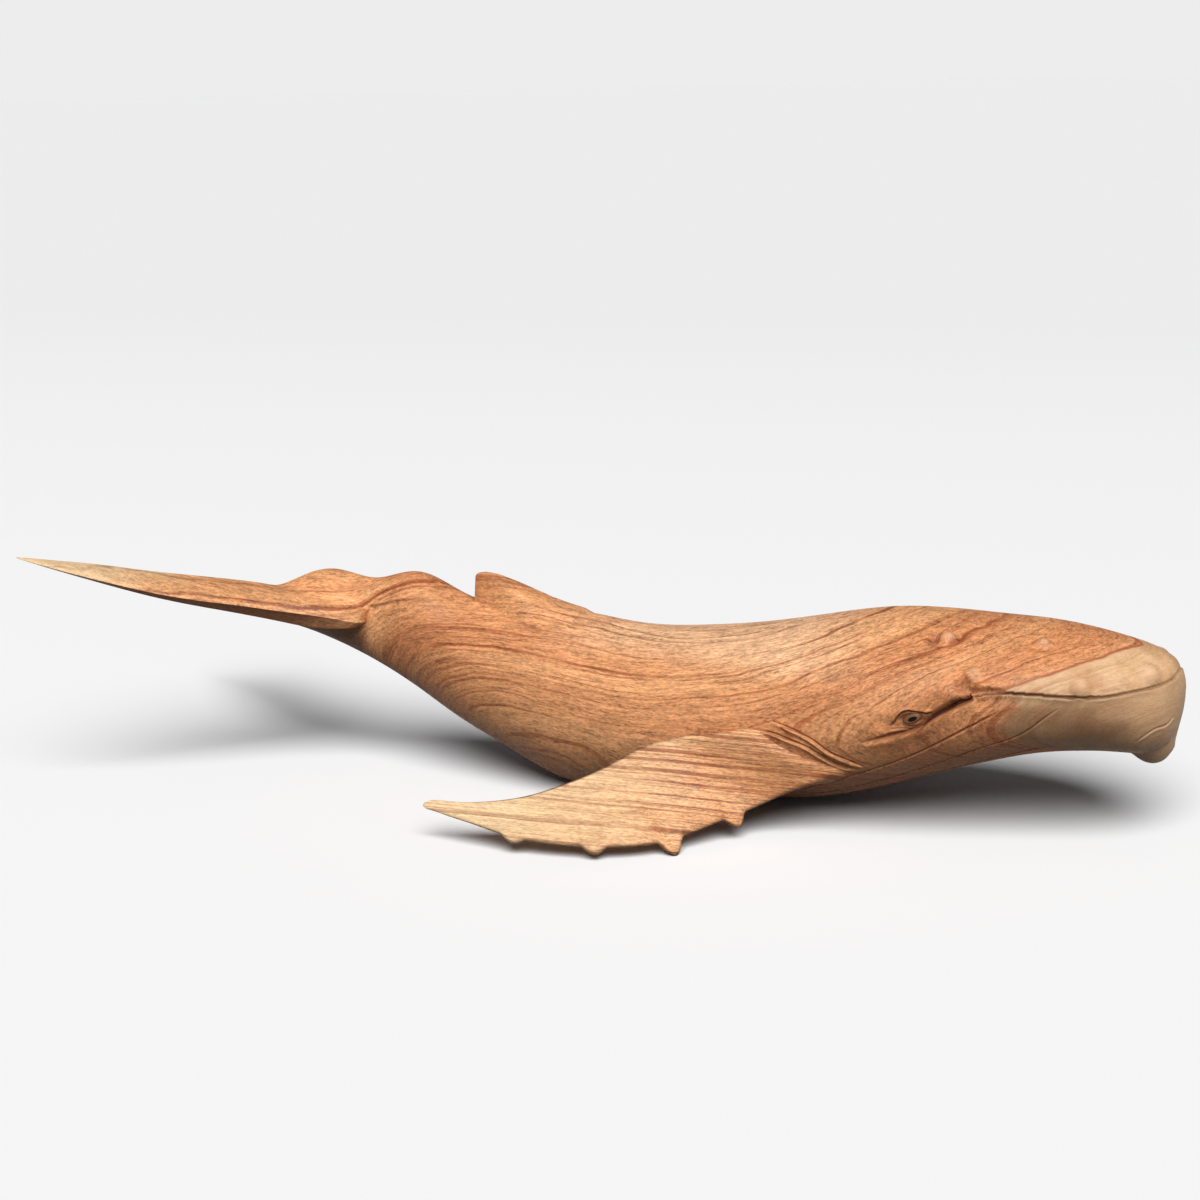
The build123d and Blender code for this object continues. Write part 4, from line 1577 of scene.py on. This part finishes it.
def dome(name, centre, ways, long_half, up_half, proud, deep, rings=14, around=40):
    """An oval plug with a domed face. Its sides go straight in."""
    long_way, up_way, out_way = ways
    turn = np.linspace(0, 2 * math.pi, around, endpoint=False)
    rows = [centre - out_way * deep + np.outer(np.cos(turn), long_way * long_half * 0.9)
            + np.outer(np.sin(turn), up_way * up_half * 0.9)]
    for q in np.linspace(0, 1, rings, endpoint=False):
        a = q * math.pi / 2
        rows.append(centre + out_way * proud * math.sin(a) + math.cos(a) * (
            np.outer(np.cos(turn), long_way * long_half) + np.outer(np.sin(turn), up_way * up_half)))
    return skin(name, rows)


def eye_frame():
    """The eye's centre on the near flank, and its ways ahead, up and out."""
    ahead = unit(body_surface(95.2, .4925) - body_surface(93.2, .4955))
    up_way = unit(body_surface(94.2, .474) - body_surface(94.2, .514))
    out = unit(np.cross(ahead, up_way))
    out *= -np.sign(out[1])
    return body_surface(93.9, .4915), (ahead, up_way, out)


eye_brown = plain_material("eye_inlay", colour(136, 90, 58), 0.5, 0.4)
pupil_black = plain_material("pupil", colour(10, 7, 5), 0.7, 0.15)
centre, ways = eye_frame()
ahead_way, _, out_way = ways
for part, mesh, finish, slot in (
    ("eye", dome("eye", centre - out_way * 2.0, ways, 3.0, 1.85, 1.0, 2.4), eye_brown, "eye_inlay"),
    ("pupil", dome("pupil", centre + ahead_way * 0.2 - out_way * 1.35, ways, 1.7, 0.95, 0.45, 1.8),
     pupil_black, "pupil"),
):
    for side, shape in (("right", mesh), ("left", mirror_image(mesh))):
        piece = smooth(as_object(f"{side}_{part}_inlay", shape))
        piece.data.materials.append(finish)
        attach(piece, "root")
        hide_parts(f"{side}_{part}")
print("eye at", [round(float(c), 1) for c in centre])

# %% [markdown]
# ## Dowels
# The dowels are inside. They keep their shape from the model and get plain birch.

# %% Dowels and the table of pieces
birch_shades = colour(230, 204, 160), colour(214, 182, 134), colour(188, 148, 100), colour(150, 112, 76)
birch = wood("dowel_wood", straight=0.02, waviness=3.0, seed=80.0, shades=birch_shades)
for name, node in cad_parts.items():
    if name.endswith("_dowel"):
        node.data.materials.clear()
        node.data.materials.append(birch)
for piece, node, slot in (
    (body, "body", "body_wood"), (right_flipper, "right_flipper", "fin_wood"),
    (left_flipper, "left_flipper", "fin_wood"), (fluke, "tail_fluke", "fin_wood"),
):
    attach(piece, "root")
    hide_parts(node)

# %% [markdown]
# ## The floor
# The whale stands on a pale floor that runs far back. It is white to the camera and keeps the soft
# shadow, but it throws little light back up at the belly, as a dark table would.

# %% The floor
floor_half = 30
far_floor = 1.4
floor_bounce = (0.025, 0.024, 0.023, 1)
floor_near, floor_far = (0.98, 0.98, 0.98, 1), (0.90, 0.90, 0.90, 1)


def floor_material():
    """Pale to the camera, a little less so far off, and a dark grey to the light it throws back up."""
    material, tree, shader = new_material("studio_floor")
    paths = tree.add("ShaderNodeLightPath").node.outputs
    seen = tree.math("MAXIMUM", paths["Is Camera Ray"], tree.math(
        "MAXIMUM", paths["Is Glossy Ray"], paths["Is Transmission Ray"]))
    place = tree.add("ShaderNodeSeparateXYZ", [tree.add("ShaderNodeTexCoord", (), "Object")])
    far = tree.add("ShaderNodeMapRange", {
        "Value": place.node.outputs["Y"], "From Min": 0.0, "From Max": far_floor})
    tree.join(blend(tree, seen, floor_bounce, blend(tree, far, floor_near, floor_far)), shader["Base Color"])
    tree.join(0.9, shader["Roughness"])
    tree.join(0.0, shader["Specular IOR Level"])
    return material


floor = as_object("floor", bpy.data.meshes.new("floor"))
floor_corners = [(x * floor_half, y * floor_half, 0) for x, y in ((-1, -1), (1, -1), (1, 1), (-1, 1))]
floor.data.from_pydata(floor_corners, [], [(0, 1, 2, 3)])
floor.data.materials.append(floor_material())
print("the floor is", 2 * floor_half, "m wide")

# %% [markdown]
# ## Light
# A big soft lamp hangs high above the camera and does most of the work, and a faint one stands in
# front. The sky is a plain dark grey to the whale, and as pale as the floor to the camera.

# %% Lamps and sky
def sun(name, towards, strength, angle):
    """A lamp at a great distance. towards is the way from the whale to the lamp."""
    lamp = bpy.data.objects.new(name, bpy.data.lights.new(name, "SUN"))
    lamp.data.energy = strength
    lamp.data.angle = math.radians(angle)
    lamp.rotation_euler = Vector(towards).to_track_quat("Z", "Y").to_euler()
    bpy.context.scene.collection.objects.link(lamp)


def studio_world(sky, sky_seen):
    """A plain grey sky that lights the whale, and that the camera sees as pale as the floor."""
    world = bpy.data.worlds.new("studio")
    world.use_nodes = True
    tree = Tree(world.node_tree)
    paths = tree.add("ShaderNodeLightPath").node.outputs
    seen = tree.math("MAXIMUM", paths["Is Camera Ray"], paths["Is Transmission Ray"])
    back = world.node_tree.nodes["Background"].inputs
    tree.join(1.0, back["Strength"])
    tree.join(blend(tree, seen, sky, sky_seen), back["Color"])
    return world


sun("high_lamp", (0.34, -0.72, 1.0), 3.4, 48)
sun("front_lamp", (0.5, -1.0, 0.8), 0.14, 60)
bpy.context.scene.world = studio_world((0.062, 0.062, 0.065, 1), (0.847, 0.847, 0.847, 1))
bpy.context.scene.view_settings.view_transform = "Standard"

bpy.context.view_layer.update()
print(so_far())
